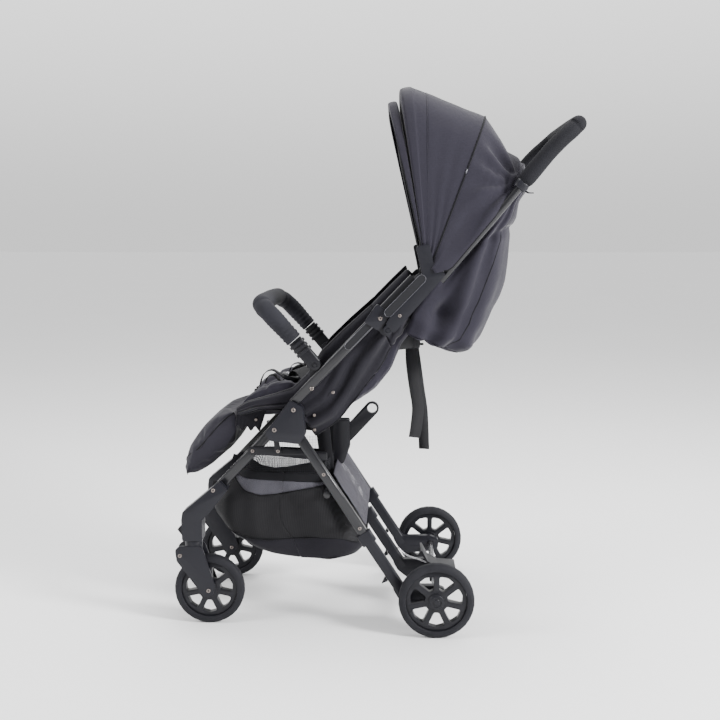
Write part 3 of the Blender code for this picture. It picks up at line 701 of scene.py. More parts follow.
def sheet_of(name, rows, material, thickness=0.0012, smooth_rounds=1):
    """Cloth through rows of points, with a little thickness."""
    wide = len(rows[0])
    points = [p for row in rows for p in row]
    faces = [(r * wide + c, r * wide + c + 1, (r + 1) * wide + c + 1, (r + 1) * wide + c)
             for r in range(len(rows) - 1) for c in range(wide - 1)]
    made = place_piece(name, points, faces, material)
    if smooth_rounds:
        finer = made.modifiers.new("finer", "SUBSURF")
        finer.levels = smooth_rounds
        finer.render_levels = smooth_rounds
    thick = made.modifiers.new("thickness", "SOLIDIFY")
    thick.thickness = thickness
    thick.offset = 0.0
    return made


def fold_noise(place, scale, seed):
    return noise.noise(Vector((place.x * scale[0] + seed, place.y * scale[1], place.z * scale[2])))


def flat_area(made):
    """Area of the cloth as cut: that of its mesh before thickness."""
    return sum(face.area for face in made.data.polygons)


PANEL_COLUMNS = 72
GUSSET_COLUMNS = 96


def canopy_panel(name, profile, creases, columns=PANEL_COLUMNS, droop=None):
    """Panel swept over a line of (tilt, reach, inset). creases moves a spot outwards, droop its tilt."""
    rows = []
    for index, (tilt, reach, inset) in enumerate(profile):
        share = index / (len(profile) - 1)
        row = []
        for column in range(columns + 1):
            swing = -1.0 + 2.0 * column / columns
            spot = hoop(tilt, reach, swing, CANOPY_HALF - inset)
            if droop:
                spot = hoop(tilt - droop(swing, share, spot), reach, swing, CANOPY_HALF - inset)
            outward = Vector((spot.x * 1.2, spot.y - PIVOT.y, spot.z - PIVOT.z)).normalized()
            if droop:
                away = math.hypot(spot.y - PIVOT.y, spot.z - PIVOT.z)
                over_hub = math.copysign(0.0085 * math.exp(-(away / 0.055) ** 4), spot.x)
                spot.x += over_hub * min(share * 4.0, 1.0)
            row.append(spot + outward * creases(swing, share, spot))
        rows.append(row)
    return sheet_of(name, rows, GREY_CLOTH)


def stretch(start, end, count, sag):
    """Profile between two (tilt, reach) stations with the cloth pulled into a straight chord."""
    line = []
    for index in range(count + 1):
        share = index / count
        tilt = start[0] + (end[0] - start[0]) * share
        reach = start[1] + (end[1] - start[1]) * share - sag * math.sin(math.pi * share)
        line.append((tilt, reach, 0.0))
    return line


def calm(swing, share, spot):
    return 0.0007 * fold_noise(spot, (9, 14, 14), 3.1)


def main_creases(swing, share, spot):
    """Long soft drag lines that fan out from the hub, and shallow quilted hollows at the top."""
    side = min(abs(swing) * 1.6, 1.0)
    arch = math.sin(math.pi * min(max(share, 0.0), 1.0))
    drag = 0.0007 * math.sin(share * 17.0 + 3.0 * fold_noise(spot, (2, 6, 6), 1.7)) * side
    ripple = 0.0042 * fold_noise(spot, (7, 11, 18), 8.3) * (1 - side * 0.5)
    return arch * (drag + ripple)


def gusset_creases(swing, share, spot):
    """Tension folds that run from each grip collar forwards and down into the gusset."""
    side = 1.0 if spot.x > 0 else -1.0
    clip = at(side * 0.165, 0.1560, 0.8860)
    away = spot - clip
    angle = math.atan2(away.z, -away.y) + 0.45 * fold_noise(spot, (3, 7, 7), 6.2)
    reach = max(away.length, 0.001)
    strength = math.exp(-((reach - 0.07) / 0.085) ** 2) * min(abs(swing) * 2.2, 1.0)
    wave = math.sin(angle * 15.0 + 0.8)
    sharp = math.copysign(abs(wave) ** 0.7, wave)
    edge = min(share * 2.6, 1.0) * min((1.0 - share) * 7.0 + 0.15, 1.0)
    soft = 0.0056 * fold_noise(spot, (10, 17, 11), 5.9) * math.sin(math.pi * share)
    return 0.0074 * strength * sharp * edge + soft


def gusset_droop(swing, share, spot):
    """The gusset's lower edge lies along the handle tubes, which pass below and behind the pivot."""
    reach = max((Vector((0.0, spot.y, spot.z)) - PIVOT).length, 0.046)
    line = 50.2 - math.degrees(math.asin(0.0271 / reach))
    side = min(max((abs(swing) - 0.30) / 0.35, 0.0), 1.0)
    return (48.5 - line) * share * side ** 2 * (3 - 2 * side)


front_profile = [(103.2, 0.3330, 0.0050), (103.15, 0.3420, 0.0020), (103.0, 0.3475, 0.0),
                 (102.8, 0.3489, 0.0), (101.6, 0.3496, 0.0), (100.5, 0.3489, 0.0), (100.2, 0.3475, 0.0),
                 (100.0, 0.3400, 0.0050), (99.9, 0.3260, 0.0140), (99.5, 0.3200, 0.0170),
                 (99.1, 0.3260, 0.0140), (99.0, 0.3450, 0.0050), (98.85, 0.3620, 0.0005),
                 (98.6, 0.3690, -0.0010), (98.3, 0.3705, -0.0014)]
second_profile = [(98.3, 0.3705, -0.0008), (97.6, 0.3722, -0.0014), (96.4, 0.3730, -0.0014),
                  (95.4, 0.3726, -0.0014), (95.0, 0.3716, -0.0014), (94.7, 0.3698, -0.0002),
                  (93.5, 0.3666, 0.0), (92.2, 0.3632, 0.0), (91.0, 0.3603, 0.0), (90.6, 0.3586, 0.0),
                  (90.4, 0.3590, 0.0)]
main_profile = stretch((90.4, 0.3590), (69.7, 0.3325), 22, 0.0062)
gusset_profile = stretch((69.7, 0.3325), (48.5, 0.2920), 26, 0.0150)
visor = canopy_panel("canopy_front_pleat", front_profile, calm)
# The faces in the fold between the two front pleats take the black binding cloth as painted shadow, because
# that fold is only shade.
visor.data.materials.append(BLACK_TAPE_AND_GAP_SHADE)
for face in visor.data.polygons:
    painted_gap_shadow = 8 <= face.index // PANEL_COLUMNS <= 10
    face.material_index = 1 if painted_gap_shadow else 0
second = canopy_panel("canopy_second_pleat", second_profile, calm)
main_panel = canopy_panel("canopy_main_panel", main_profile, main_creases)
gusset = canopy_panel("canopy_rear_gusset", gusset_profile, gusset_creases, GUSSET_COLUMNS, gusset_droop)


for made, node, wide, long in ((visor, "canopy_visor", 0.75, 0.16), (second, None, 0.77, 0.12),
                               (main_panel, "canopy_main", 0.76, 0.20), (gusset, "canopy_rear", 0.72, 0.20)):
    min(max(flat_area(made), 0.3 * wide * long), wide * long)
    if node:
        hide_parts(node)


def canopy_cord(name, tilt, reach, lift, radius, material, body, swing_end=0.985):
    """Piping or stitched welt laid along one hoop of the canopy."""
    line = [hoop(tilt, reach + lift, -swing_end + 2 * swing_end * k / 64, CANOPY_HALF + lift)
            for k in range(65)]
    made = swept(name, line, lambda t: circle(radius, 8), material)
    fit(made, body)
    return made


canopy_cord("canopy_rear_seam", 69.7, 0.3325, 0.0008, 0.0016, BLACK_TAPE_AND_GAP_SHADE, "rear_bow")
canopy_cord("canopy_second_seam", 90.4, 0.3590, 0.0004, 0.0009, GREY_CLOTH, "second_bow")
canopy_cord("canopy_front_hem", 103.2, 0.3330, 0.0004, 0.0014, BLACK_TAPE_AND_GAP_SHADE, "visor_bow")
last_row = (len(gusset_profile) - 1) * (GUSSET_COLUMNS + 1)
hem_line = [gusset.data.vertices[last_row + k].co.copy() for k in range(2, GUSSET_COLUMNS - 1)]
gusset_hem = swept("canopy_gusset_hem", hem_line, lambda t: circle(0.0014, 8), BLACK_TAPE_AND_GAP_SHADE)
fit(gusset_hem, "handle")
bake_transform(visor)
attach(second, "second_bow")
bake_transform(main_panel)
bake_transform(gusset)
for bow_name in ("visor_bow", "second_bow", "rear_bow"):
    dress(bow_name, BLACK_TUBE, 0.0003)
for side, word in SIDES:
    tab_spot = [hoop(69.7, 0.3325, side * s, CANOPY_HALF + 0.0020) for s in (0.630, 0.638, 0.646)]
    tab = swept(f"canopy_tab_{word}", tab_spot, lambda t: ribbon_ring(0.0022, 0.0010), RAIL,
                lambda t: (0, 1, 0.2))
    fit(tab, "rear_bow")

# ---------------------------------------------------------------------------------------------
# Rear pouch: a deep bag of the same grey cloth behind the seat back, held to the handle tubes
# and gathered at the bottom. It is cut large so the back can recline into it, and hangs in folds.
POUCH_FRONT = [(0.1440, 0.8700), (0.1200, 0.8330), (0.0850, 0.7930), (0.0450, 0.7480), (0.0050, 0.7020),
               (-0.0280, 0.6640), (-0.0500, 0.6330), (-0.0620, 0.5960)]
POUCH_REAR = [(0.1800, 0.8800), (0.1625, 0.8560), (0.1580, 0.8240), (0.1480, 0.8060), (0.1440, 0.7740),
              (0.1400, 0.7360), (0.1330, 0.6960), (0.1210, 0.6500), (0.1040, 0.6040), (0.0780, 0.5670),
              (0.0420, 0.5570)]


def station(line, share):
    """Point at a share of the way along a list of side-view points."""
    reach = share * (len(line) - 1)
    first = min(int(reach), len(line) - 2)
    part = reach - first
    a = Vector((0.0, *line[first]))
    b = Vector((0.0, *line[first + 1]))
    return a + (b - a) * part


pouch_rows = []
for row in range(57):
    down = row / 56
    front = station(POUCH_FRONT, down)
    rear = station(POUCH_REAR, down)
    line = []
    for column in range(89):
        swing = -1.0 + column / 44
        turn = swing * math.pi / 2
        half = 0.152 - 0.012 * down ** 2
        x = half * math.copysign(abs(math.sin(turn)) ** 0.55, swing)
        depth = max(math.cos(turn), 0.0) ** 0.62
        spot = front + (rear - front) * depth + Vector((x, 0.0, 0.0))
        sideways = math.copysign(abs(math.sin(turn)) ** 1.5, swing)
        outward = Vector((sideways, 0.8 * depth, -0.45 * depth)).normalized()
        side = abs(math.sin(turn)) ** 1.2
        seed = 4.4 + (swing > 0)
        slack = 0.25 + 0.75 * min(down * 1.5, 1.0)
        across = 3.4 * fold_noise(spot, (5, 7, 4), seed)
        wave = math.sin(15.0 * depth - 7.0 * down + across)
        long_fold = math.copysign(abs(wave) ** 0.75, wave)
        back_fold = math.sin(15.0 * swing + 4.0 * fold_noise(spot, (4, 2, 5), 7.7)) * (1 - side)
        fold = slack * (0.0062 * long_fold * side * math.sin(math.pi * min(depth * 1.05, 1.0))
                        + 0.0030 * back_fold * math.sin(math.pi * min(down * 1.1, 1.0)))
        fold += 0.0130 * fold_noise(spot, (8, 11, 8), 2.2) * slack * min(depth * 3.0, 1.0)
        under_tube = math.exp(-((depth - 0.17 - 0.05 * math.sin(9.0 * down)) / 0.060) ** 2)
        fold -= 0.0150 * under_tube * side * math.exp(-((down - 0.47) / 0.20) ** 2)
        ledge = math.exp(-((down - 0.305 - 0.07 * (1.0 - depth)) / 0.026) ** 2) * min(depth * 1.8, 1.0)
        fold -= 0.0085 * ledge * (0.4 + 0.6 * side)
        pocket = math.exp(-((down - 0.79) / 0.085) ** 2 - ((depth - 0.40) / 0.17) ** 2) * side
        fold -= 0.0260 * pocket
        lip = math.exp(-((down - 0.90) / 0.045) ** 2 - ((depth - 0.42) / 0.20) ** 2) * side
        fold += 0.0080 * lip
        crumple = 0.0085 * noise.noise(Vector((spot.x * 19, spot.y * 30, spot.z * 26)))
        crumple *= max(0.0, down - 0.5) * 2.2
        line.append(at(*(spot + outward * (fold + crumple))))
    pouch_rows.append(line)
pouch = sheet_of("rear_pouch_bag", pouch_rows, GREY_CLOTH, 0.0012)
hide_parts("rear_pouch")


def grid(downs, acrosses, spot_at):
    """Rows of points: spot_at(share down from 0 to 1, swing across from -1 to 1)."""
    return [[spot_at(row / downs, -1.0 + 2.0 * column / acrosses) for column in range(acrosses + 1)]
            for row in range(downs + 1)]


def pouch_bottom_at(share, swing):
    top = pouch_rows[-1][round((swing + 1) * 44)]
    heart = at(0.0, -0.0400, 0.5960)
    spot = top + (Vector((top.x * 0.96, heart.y, heart.z)) - top) * (share * 0.9)
    spot.z -= 0.010 * math.sin(math.pi * share) * (1 - 0.5 * abs(swing))
    spot.z += 0.0030 * math.sin(31.0 * swing + 4.0 * share)
    return spot


pouch_bottom = sheet_of("rear_pouch_bottom", grid(8, 44, pouch_bottom_at), GREY_CLOTH, 0.0012)
folding = [pouch, pouch_bottom]
for side, word in SIDES:
    seam = swept(f"pouch_seam_{word}", [pouch_rows[row][44 + side * 26] for row in range(2, 56)],
                 lambda t: circle(0.0013, 8), BLACK_TAPE_AND_GAP_SHADE)
    folding.append(seam)
for made in folding:
    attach(made, "handle")
    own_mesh(made)

# ---------------------------------------------------------------------------------------------
# Calf rest: a foam pad in a sewn cover that is blown up like a cushion, then welted along its
# top edge. It hinges at the seat's front edge, where cloth is gathered round the hinge.


def stuffed(name, shape, node, material, cap, shrink=0.0030, voxel=0.0055, pressure=4.0):
    """Pad grown from a plain shape: remeshed, drawn in a little, then swollen as cloth."""
    made = bpy.data.objects.new(name, shape.copy())
    bpy.context.scene.collection.objects.link(made)
    remesh = made.modifiers.new("skin", "REMESH")
    remesh.mode = "VOXEL"
    remesh.voxel_size = voxel
    soften = made.modifiers.new("soften", "SMOOTH")
    soften.factor = 0.5
    soften.iterations = 4
    set_mesh(made)
    for vertex in made.data.vertices:
        vertex.co -= vertex.normal * shrink
    start = [vertex.co.copy() for vertex in made.data.vertices]
    cloth = made.modifiers.new("cloth", "CLOTH")
    cloth.settings.quality = 4
    cloth.settings.use_pressure = True
    cloth.settings.uniform_pressure_force = pressure
    cloth.settings.effector_weights.gravity = 0.0
    cloth.point_cache.frame_start = 1
    cloth.point_cache.frame_end = 20
    for number in range(1, 21):
        bpy.context.scene.frame_set(number)
    set_mesh(made)
    bpy.context.scene.frame_set(1)
    for vertex, before in zip(made.data.vertices, start):
        move = vertex.co - before
        if move.length > cap:
            vertex.co = before + move * (cap / move.length)
    made.data.materials.clear()
    made.data.materials.append(material)
    for face in made.data.polygons:
        face.use_smooth = True
        face.material_index = 0
    finer = made.modifiers.new("finer", "SUBSURF")
    finer.levels = 1
    finer.render_levels = 1
    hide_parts(node)
    return made


def set_mesh(made):
    """Apply all modifiers of a piece to its mesh."""
    graph = bpy.context.evaluated_depsgraph_get()
    data = bpy.data.meshes.new_from_object(made.evaluated_get(graph))
    made.modifiers.clear()
    made.data = data


def sewn(made, depth_at):
    """Press sewn channels into a pad: depth_at(point) says how far each spot goes in."""
    moves = [vertex.normal * depth_at(vertex.co - AXLE) for vertex in made.data.vertices]
    for vertex, move in zip(made.data.vertices, moves):
        vertex.co -= move


def two_tone():
    """Grey on the upper face and down the sides, black lining below a line along the pad."""
    made = Surface("calf_rest_cover", Sheen_Weight=0.12, Sheen_Roughness=0.45, Specular_IOR_Level=0.14)
    x, y, z = made.axes()
    below = (y - AXLE.y + 0.4130) * 0.84 - (z - 0.4180) * 0.54
    under = (below + made.noise(14.0) * 0.006).clipped(0.0215, 0.0235)
    slubs = made.noise(240.0, 2.0)
    cloud = made.noise(8.0, 5.0, 0.6)
    grey = made.mix(cloud * 0.65 + slubs * 0.35, (0.0150, 0.0138, 0.0195), (0.0225, 0.0208, 0.0290))
    made.set(Base_Color=made.mix(under, grey, (0.0062, 0.0058, 0.0082)), Roughness=0.72 + cloud * 0.14,
             Normal=made.bump(slubs + made.noise(26.0, 4.0, 0.55) * 9.0, 0.00020, 0.7))
    return made.material


CALF_TOP = [(-0.4050, 0.4390), (-0.4260, 0.4300), (-0.4650, 0.3940), (-0.5000, 0.3450), (-0.5235, 0.2920)]
calf = stuffed("calf_rest_pad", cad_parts["calf_rest"].data, "calf_rest", two_tone(), 0.009)
for vertex in calf.data.vertices:
    spot = vertex.co - AXLE
    down = min(max((0.4390 - spot.z) / 0.147, 0.0), 1.0)
    corner = 0.024 * down ** 3 * (0.45 + 0.55 * min(abs(spot.x) / 0.120, 1.0) ** 4)
    arch = 0.0080 * math.sin(math.pi * min(down * 1.15, 1.0)) * (1.0 - 0.5 * (abs(spot.x) / 0.125) ** 4)
    inward = -0.045 * spot.x * down ** 3
    vertex.co += Vector((inward, 0.50 * corner - 0.80 * arch, 0.86 * corner + 0.45 * arch))
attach(calf, "calf_rest")


def ruche_at(side, share, swing):
    """Gathered cloth between the seat's front corner and the hinge."""
    v = (swing + 1) / 2
    upper = Vector((0.0, -0.4020 + 0.0640 * v, 0.4440 + 0.0080 * v))
    lower = Vector((0.0, -0.4060 + 0.0480 * v, 0.4020 - 0.0040 * v + 0.0060 * math.sin(17.0 * v)))
    spot = upper + (lower - upper) * share
    pull = 0.0022 * math.sin(40.0 * v + 3.0 * share) * share
    return at(side * (0.1230 + pull), spot.y, spot.z)


for side, word in SIDES:
    ruche_rows = grid(12, 14, lambda share, swing: ruche_at(side, share, swing))
    ruche = sheet_of(f"calf_hinge_cloth_{word}", ruche_rows, BLACK_CLOTH, 0.0020)
    fit(ruche, "frame")
    rivet(f"calf_hinge_rivet_front_{word}", side, 0.1262, -0.3870, 0.4370, "frame", 0.75)
    rivet(f"calf_hinge_rivet_rear_{word}", side, 0.1262, -0.3640, 0.4180, "frame", 0.75)
welt_line = []
for step in range(61):
    swing = -1.0 + step / 30
    down = 1.0 - abs(swing) ** 2.2
    rough = station(CALF_TOP, 0.10 + 0.90 * down)
    x = math.copysign(min(abs(swing) * 1.6, 1.0) * (0.1230 - 0.005 * down), swing)
    goal = at(x, rough.y + 0.010, rough.z)
    welt_line.append(min(calf.data.vertices, key=lambda v: (v.co - goal).length).co.copy())
welt_line = curve(welt_line[::4], 4)
calf_welt = swept("calf_rest_welt", welt_line, lambda t: circle(0.0016, 8), BLACK_TAPE_AND_GAP_SHADE)
fit(calf_welt, "calf_rest")
corner = min(calf.data.vertices, key=lambda v: (v.co - at(0.1120, -0.5080, 0.3060)).length).co
tag_rows = [[corner + Vector((x, 0.0010, 0.0020)), corner + Vector((x, -0.0010, -0.0080))]
            for x in (-0.0035, 0.0035)]
tag = sheet_of("calf_rest_tag", tag_rows, BLACK_TAPE_AND_GAP_SHADE, 0.0008, 0)
fit(tag, "calf_rest")

# ---------------------------------------------------------------------------------------------
# Seat and back cushions, held in a black cloth sling between the push tubes. The sling's sides
# are padded above the tubes, pulled into folds below them, and bound with tape.
DARK_CLOTH = woven("dark_cloth", (0.0088, 0.0082, 0.0115), 1400.0, 0.08)
SEAT_SIDE = [(-0.4000, 0.4420), (-0.3850, 0.4640), (-0.3600, 0.4780), (-0.3300, 0.4920), (-0.2950, 0.4980),
             (-0.2550, 0.4880), (-0.2400, 0.4340), (-0.3000, 0.4290), (-0.3850, 0.4300)]


def prism(name, outline, half):
    """Straight-sided block of a side outline, from one side to the other."""
    count = len(outline)
    points = [at(x, y, z) for x in (-half, half) for y, z in outline]
    faces = [tuple(range(count)), tuple(reversed(range(count, 2 * count)))]
    faces += [(k, count + k, count + (k + 1) % count, (k + 1) % count) for k in range(count)]
    made = face_outwards(place_piece(name, points, faces, DARK_CLOTH))
    data = made.data
    bpy.data.objects.remove(made)
    return data


def channel_depth(spot, lines_x, lines_along, along, depth=0.0045, width=0.0045):
    """Depth of sewn lines: some run front to back at given x, some across at given stations."""
    near = min([abs(abs(spot.x) - x) for x in lines_x] + [abs(along - a) for a in lines_along])
    return depth * math.exp(-(near / width) ** 2)


def seat_depth(spot):
    """Sewn lines, and a middle pressed down between the raised sides, on the upper face only."""
    if spot.z <= 0.452:
        return 0.0
    hollow = 0.0220 * math.exp(-(spot.x / 0.085) ** 4) * min((spot.z - 0.452) / 0.020, 1.0)
    return channel_depth(spot, (0.075,), (-0.345, -0.285), spot.y) + hollow


def back_depth(spot):
    """Sewn lines on the face that the child leans on."""
    y = spot.y + 0.236
    z = spot.z - 0.452
    if z * 0.678 - y * 0.735 <= -0.006:
        return 0.0
    return channel_depth(spot, (0.062,), (0.12, 0.21, 0.30, 0.39), Vector((y, z)).length)


seat = stuffed("seat_cushion", prism("seat_block", SEAT_SIDE, 0.1330), "seat_pad", GREY_CLOTH, 0.008)
sewn(seat, seat_depth)
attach(seat, "frame")
back = stuffed("back_cushion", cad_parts["backrest"].data, "backrest", GREY_CLOTH, 0.008)
sewn(back, back_depth)
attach(back, "backrest")

WING_TOP = [(-0.4000, 0.4440), (-0.3800, 0.4570), (-0.3560, 0.4640), (-0.3218, 0.4740), (-0.2875, 0.4860),
            (-0.2560, 0.5160), (-0.2300, 0.5600), (-0.1850, 0.6040), (-0.1300, 0.6530)]
WING_LOW = [(-0.3960, 0.4300), (-0.3500, 0.4400), (-0.3050, 0.4380), (-0.2640, 0.4280), (-0.2400, 0.3880),
            (-0.2000, 0.4200), (-0.1560, 0.4680), (-0.1200, 0.5220), (-0.0900, 0.5680)]


def wing(name, side, top_line, low_line, rows=60, columns=40):
    made_rows = []
    for row in range(rows + 1):
        v = row / rows
        top = station(top_line, v)
        low = station(low_line, v)
        line = []
        for column in range(columns + 1):
            u = column / columns
            spot = top + (low - top) * u
            roll = 0.0130 * max(0.0, 1.0 - u / 0.10) ** 2
            tuck = 0.0170 * max(0.0, (u - 0.55) / 0.45) ** 2
            below = min(max((u - 0.34) * 5.0, 0.0), 1.0)
            wave = math.sin(6.0 * v + 21.0 * u + 3.2 * fold_noise(spot, (3, 9, 9), 1.0 + side))
            fold = 0.0058 * below * math.copysign(abs(wave) ** 0.75, wave) * min((1.02 - u) * 5.0, 1.0)
            crease = 0.0050 * below * noise.noise(Vector((side * 3.0, spot.y * 26, spot.z * 20)))
            above = 0.0035 * (1.0 - below) * fold_noise(spot, (2, 13, 13), 5.5) * min(u * 8.0, 1.0)
            x = 0.1490 - roll - tuck + fold + crease + above
            spot.y += 0.0025 * math.sin(23.0 * v) * u
            line.append(at(side * x, spot.y, spot.z))
        made_rows.append(line)
    return sheet_of(name, made_rows, DARK_CLOTH, 0.0022), made_rows


def hinged_back(made):
    """Bake the cloth's place into its mesh."""
    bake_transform(made)


for side, word in SIDES:
    lower, lower_rows = wing(f"sling_side_{word}", side, WING_TOP, WING_LOW)
    hinged_back(lower)
    upper, _ = wing(f"sling_shoulder_{word}", side,
                    [(-0.1320, 0.6510), (-0.0940, 0.6900), (-0.0600, 0.7230)],
                    [(-0.0900, 0.5710), (-0.0640, 0.6040), (-0.0380, 0.6650)], 14, 16)
    fit(upper, "handle")
    hinged_back(swept(f"sling_binding_{word}", [row[-1] for row in lower_rows], lambda t: circle(0.0020, 8),
                      BLACK_TAPE_AND_GAP_SHADE))
    top_welt = swept(f"sling_welt_{word}", [row[1] for row in lower_rows], lambda t: circle(0.0016, 8),
                     BLACK_TAPE_AND_GAP_SHADE)
    fit(top_welt, "frame")
    for number, (y, z) in enumerate(((-0.2060, 0.4790), (-0.2440, 0.4320), (-0.2440, 0.4010))):
        rivet(f"sling_snap_{number}_{word}", side, 0.1545 - 0.006 * number, y, z, "frame", 0.8)


def sling_at(share, swing):
    edge = station(WING_LOW, share)
    sag = 0.004 * (1 - swing ** 2) * math.sin(math.pi * share)
    wave = 0.0028 * noise.noise(Vector((swing * 4.0, edge.y * 20, edge.z * 20)))
    down = 0.7 * sag + wave
    return at(0.1345 * swing, edge.y + 0.5 * down, edge.z - down + 0.0015)


def yoke_at(share, swing):
    high = hoop(48.5, 0.2935, swing * 0.5)
    low = pouch_rows[0][round((swing + 1) * 44)]
    spot = high + (low - high) * share
    spot.y += 0.0050 * math.sin(math.pi * share) * (1 - abs(swing))
    return spot


sling = sheet_of("seat_sling", grid(48, 36, sling_at), DARK_CLOTH, 0.0018)
hinged_back(sling)
yoke = sheet_of("rear_yoke", grid(8, 44, yoke_at), GREY_CLOTH, 0.0012)
fit(yoke, "handle")
for side, word in SIDES:
    tether_line = curve([at(side * x, y, z) for x, y, z in
                         ((0.082, -0.2320, 0.3960), (0.081, -0.2260, 0.3400), (0.080, -0.2185, 0.2900),
                          (0.080, -0.2120, 0.2820))], 5)
    tether = swept(f"seat_tether_{word}", tether_line, lambda t: ribbon_ring(0.0300 - 0.004 * t, 0.0018),
                   BLACK_TAPE_AND_GAP_SHADE, lambda t: (0.25, 1, 0))
    fit(tether, "frame")

# ---------------------------------------------------------------------------------------------
# Harness: 25 mm black webbing over the back cushion and round the lap, with a raised crotch
# loop, joined in a buckle with a clear press button. The tails are left long and stand in loops.


def webbing(name):
    """Ribbed tape: fine cross ribs with a denser edge."""
    made = Surface(name, Specular_IOR_Level=0.3)
    x, y, z = made.axes()
    ribs = ((x * 0.3 + y + z) * 3600.0).sine()
    fuzz = made.noise(500.0, 2.0)
    worn = ribs * 0.25 + fuzz * 0.6
    made.set(Base_Color=made.mix(worn, (0.0065, 0.0065, 0.0080), (0.0190, 0.0185, 0.0215)),
             Roughness=0.62 + fuzz * 0.15, Normal=made.bump(ribs + fuzz, 0.00025, 0.8))
    return made.material


WEBBING = webbing("webbing")
CLEAR = Surface("clear_button", Roughness=0.12, IOR=1.45, Coat_Weight=0.5)
clear_cloud = CLEAR.noise(60.0, 2.0)
CLEAR.set(Base_Color=CLEAR.mix(clear_cloud, (0.20, 0.20, 0.22), (0.42, 0.42, 0.45)),
          Alpha=0.55 + clear_cloud * 0.3)
CLEAR.material.surface_render_method = "DITHERED"


def strap(name, controls, width, across, body, thickness=0.0014, per_span=8):
    line = curve([at(*p) for p in controls], per_span)
    made = swept(name, line, lambda t: ribbon_ring(width, thickness), WEBBING, across)
    rounding = made.modifiers.new("edge", "BEVEL")
    rounding.width = thickness * 0.3
    rounding.segments = 1
    rounding.limit_method = "ANGLE"
    if body:
        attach(made, body)
    return made


def pad_ring(t):
    """Flat oval section of a shoulder pad, thinner at its ends."""
    full = 0.5 + 0.5 * min(min(t, 1 - t) * 12, 1) ** 0.5
    return squared(0.0190, 0.0055 * full, 0.5, 24, 0.8)


for side, word in SIDES:
    shoulder = strap(f"shoulder_strap_{word}",
                     [(side * x, y, z) for x, y, z in
                      ((0.044, 0.0200, 0.7440), (0.044, 0.0050, 0.7420), (0.046, -0.0300, 0.7040),
                       (0.050, -0.1000, 0.6280), (0.050, -0.1700, 0.5560), (0.044, -0.2150, 0.5220),
                       (0.030, -0.2600, 0.5130), (0.018, -0.2900, 0.4980))],
                     0.0250, lambda t: (1, 0, 0), None)
    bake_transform(shoulder)
    pad_line = curve([at(side * 0.0460, -0.0300, 0.7065), at(side * 0.0490, -0.0800, 0.6530),
                      at(side * 0.0500, -0.1250, 0.6060)], 10)
    pad = swept(f"shoulder_pad_{word}", pad_line, pad_ring, DARK_CLOTH, lambda t: (1, 0, 0))
    fit(pad, "backrest")
    strap(f"lap_strap_{word}", [(side * 0.1300, -0.2480, 0.4900), (side * 0.1000, -0.2600, 0.5000),
                                (side * 0.0600, -0.2780, 0.5120), (side * 0.0350, -0.2900, 0.5080),
                                (side * 0.0170, -0.2980, 0.4930)], 0.0250, lambda t: (0, 1, 0.35), "frame")
strap("crotch_loop", [(0.0, -0.3720, 0.4700), (0.0, -0.3680, 0.4850), (0.0, -0.3600, 0.4980),
                      (0.0, -0.3460, 0.5035), (0.0, -0.3320, 0.4970), (0.0, -0.3200, 0.4880)],
      0.0250, lambda t: (1, 0, 0), "frame")
strap("crotch_tail", [(0.004, -0.3180, 0.4860), (0.005, -0.3260, 0.4800), (0.006, -0.3330, 0.4860),
                      (0.006, -0.3420, 0.4940), (0.006, -0.3540, 0.4900), (0.006, -0.3600, 0.4760)],
      0.0240, lambda t: (1, 0, 0), "frame")
strap("waist_keeper", [(-0.030, -0.3110, 0.4980), (-0.030, -0.3060, 0.5100), (-0.030, -0.2930, 0.5150),
                       (-0.030, -0.2800, 0.5100), (-0.030, -0.2760, 0.4980)],
      0.0200, lambda t: (1, 0, 0), "frame")


def plump(name, centre, size, slope, material, power=0.45, rings=14, steps=28):
    """Moulded body with soft corners: a squared ellipsoid turned about the x axis by slope."""
    points = []
    for ring in range(rings + 1):
        lift = math.pi * (ring / rings - 0.5)
        level = math.copysign(abs(math.sin(lift)) ** power, math.sin(lift))
        wide = abs(math.cos(lift)) ** power
        for x, y in squared(size[0] * wide, size[1] * wide, power, steps):
            points.append(centre + Matrix.Rotation(slope, 3, "X") @ Vector((x, y, size[2] * level)))
    return place_piece(name, points, rounds(steps, rings), material)


buckle = plump("harness_buckle_body", at(0.0, -0.3070, 0.4880), (0.0215, 0.0190, 0.0062), -0.35,
               BLACK_PLASTIC)
fit(buckle, "frame")
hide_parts("harness_buckle")
button = plump("harness_buckle_button", at(0.0, -0.3060, 0.4935), (0.0110, 0.0110, 0.0034), -0.35,
               CLEAR.material, 0.6)
fit(button, "frame")

# ---------------------------------------------------------------------------------------------
# Recline strap: black webbing that passes round the back of the seat sling, through a ladder
# buckle with two small prongs, and hangs down in two loose tails of unequal length.
strap("recline_band", [(0.1200, -0.0880, 0.5720), (0.0900, -0.0700, 0.5710), (0.0600, -0.0560, 0.5700),
                       (0.0300, -0.0440, 0.5700), (0.0, -0.0420, 0.5700), (-0.0300, -0.0440, 0.5700),
                       (-0.0900, -0.0700, 0.5710), (-0.1200, -0.0880, 0.5720)],
      0.0260, lambda t: (0, 0, 1), "backrest")
tail_front = strap("recline_tail_front",
                   [(0.0310, -0.0500, 0.5600), (0.0320, -0.0480, 0.5200), (0.0330, -0.0410, 0.4700),
                    (0.0330, -0.0350, 0.4300), (0.0320, -0.0380, 0.3900), (0.0320, -0.0420, 0.3650)],
                   0.0250, lambda t: (0.25 - 0.5 * t, 1, 0.2), "backrest")
tail_rear = strap("recline_tail_rear",
                  [(0.0270, -0.0460, 0.5600), (0.0270, -0.0400, 0.5200), (0.0280, -0.0330, 0.4700),
                   (0.0270, -0.0260, 0.4250), (0.0260, -0.0230, 0.3800), (0.0250, -0.0210, 0.3390)],
                  0.0230, lambda t: (-0.2 + 0.6 * t, 1, 0.2), "backrest")
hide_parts("recline_strap")
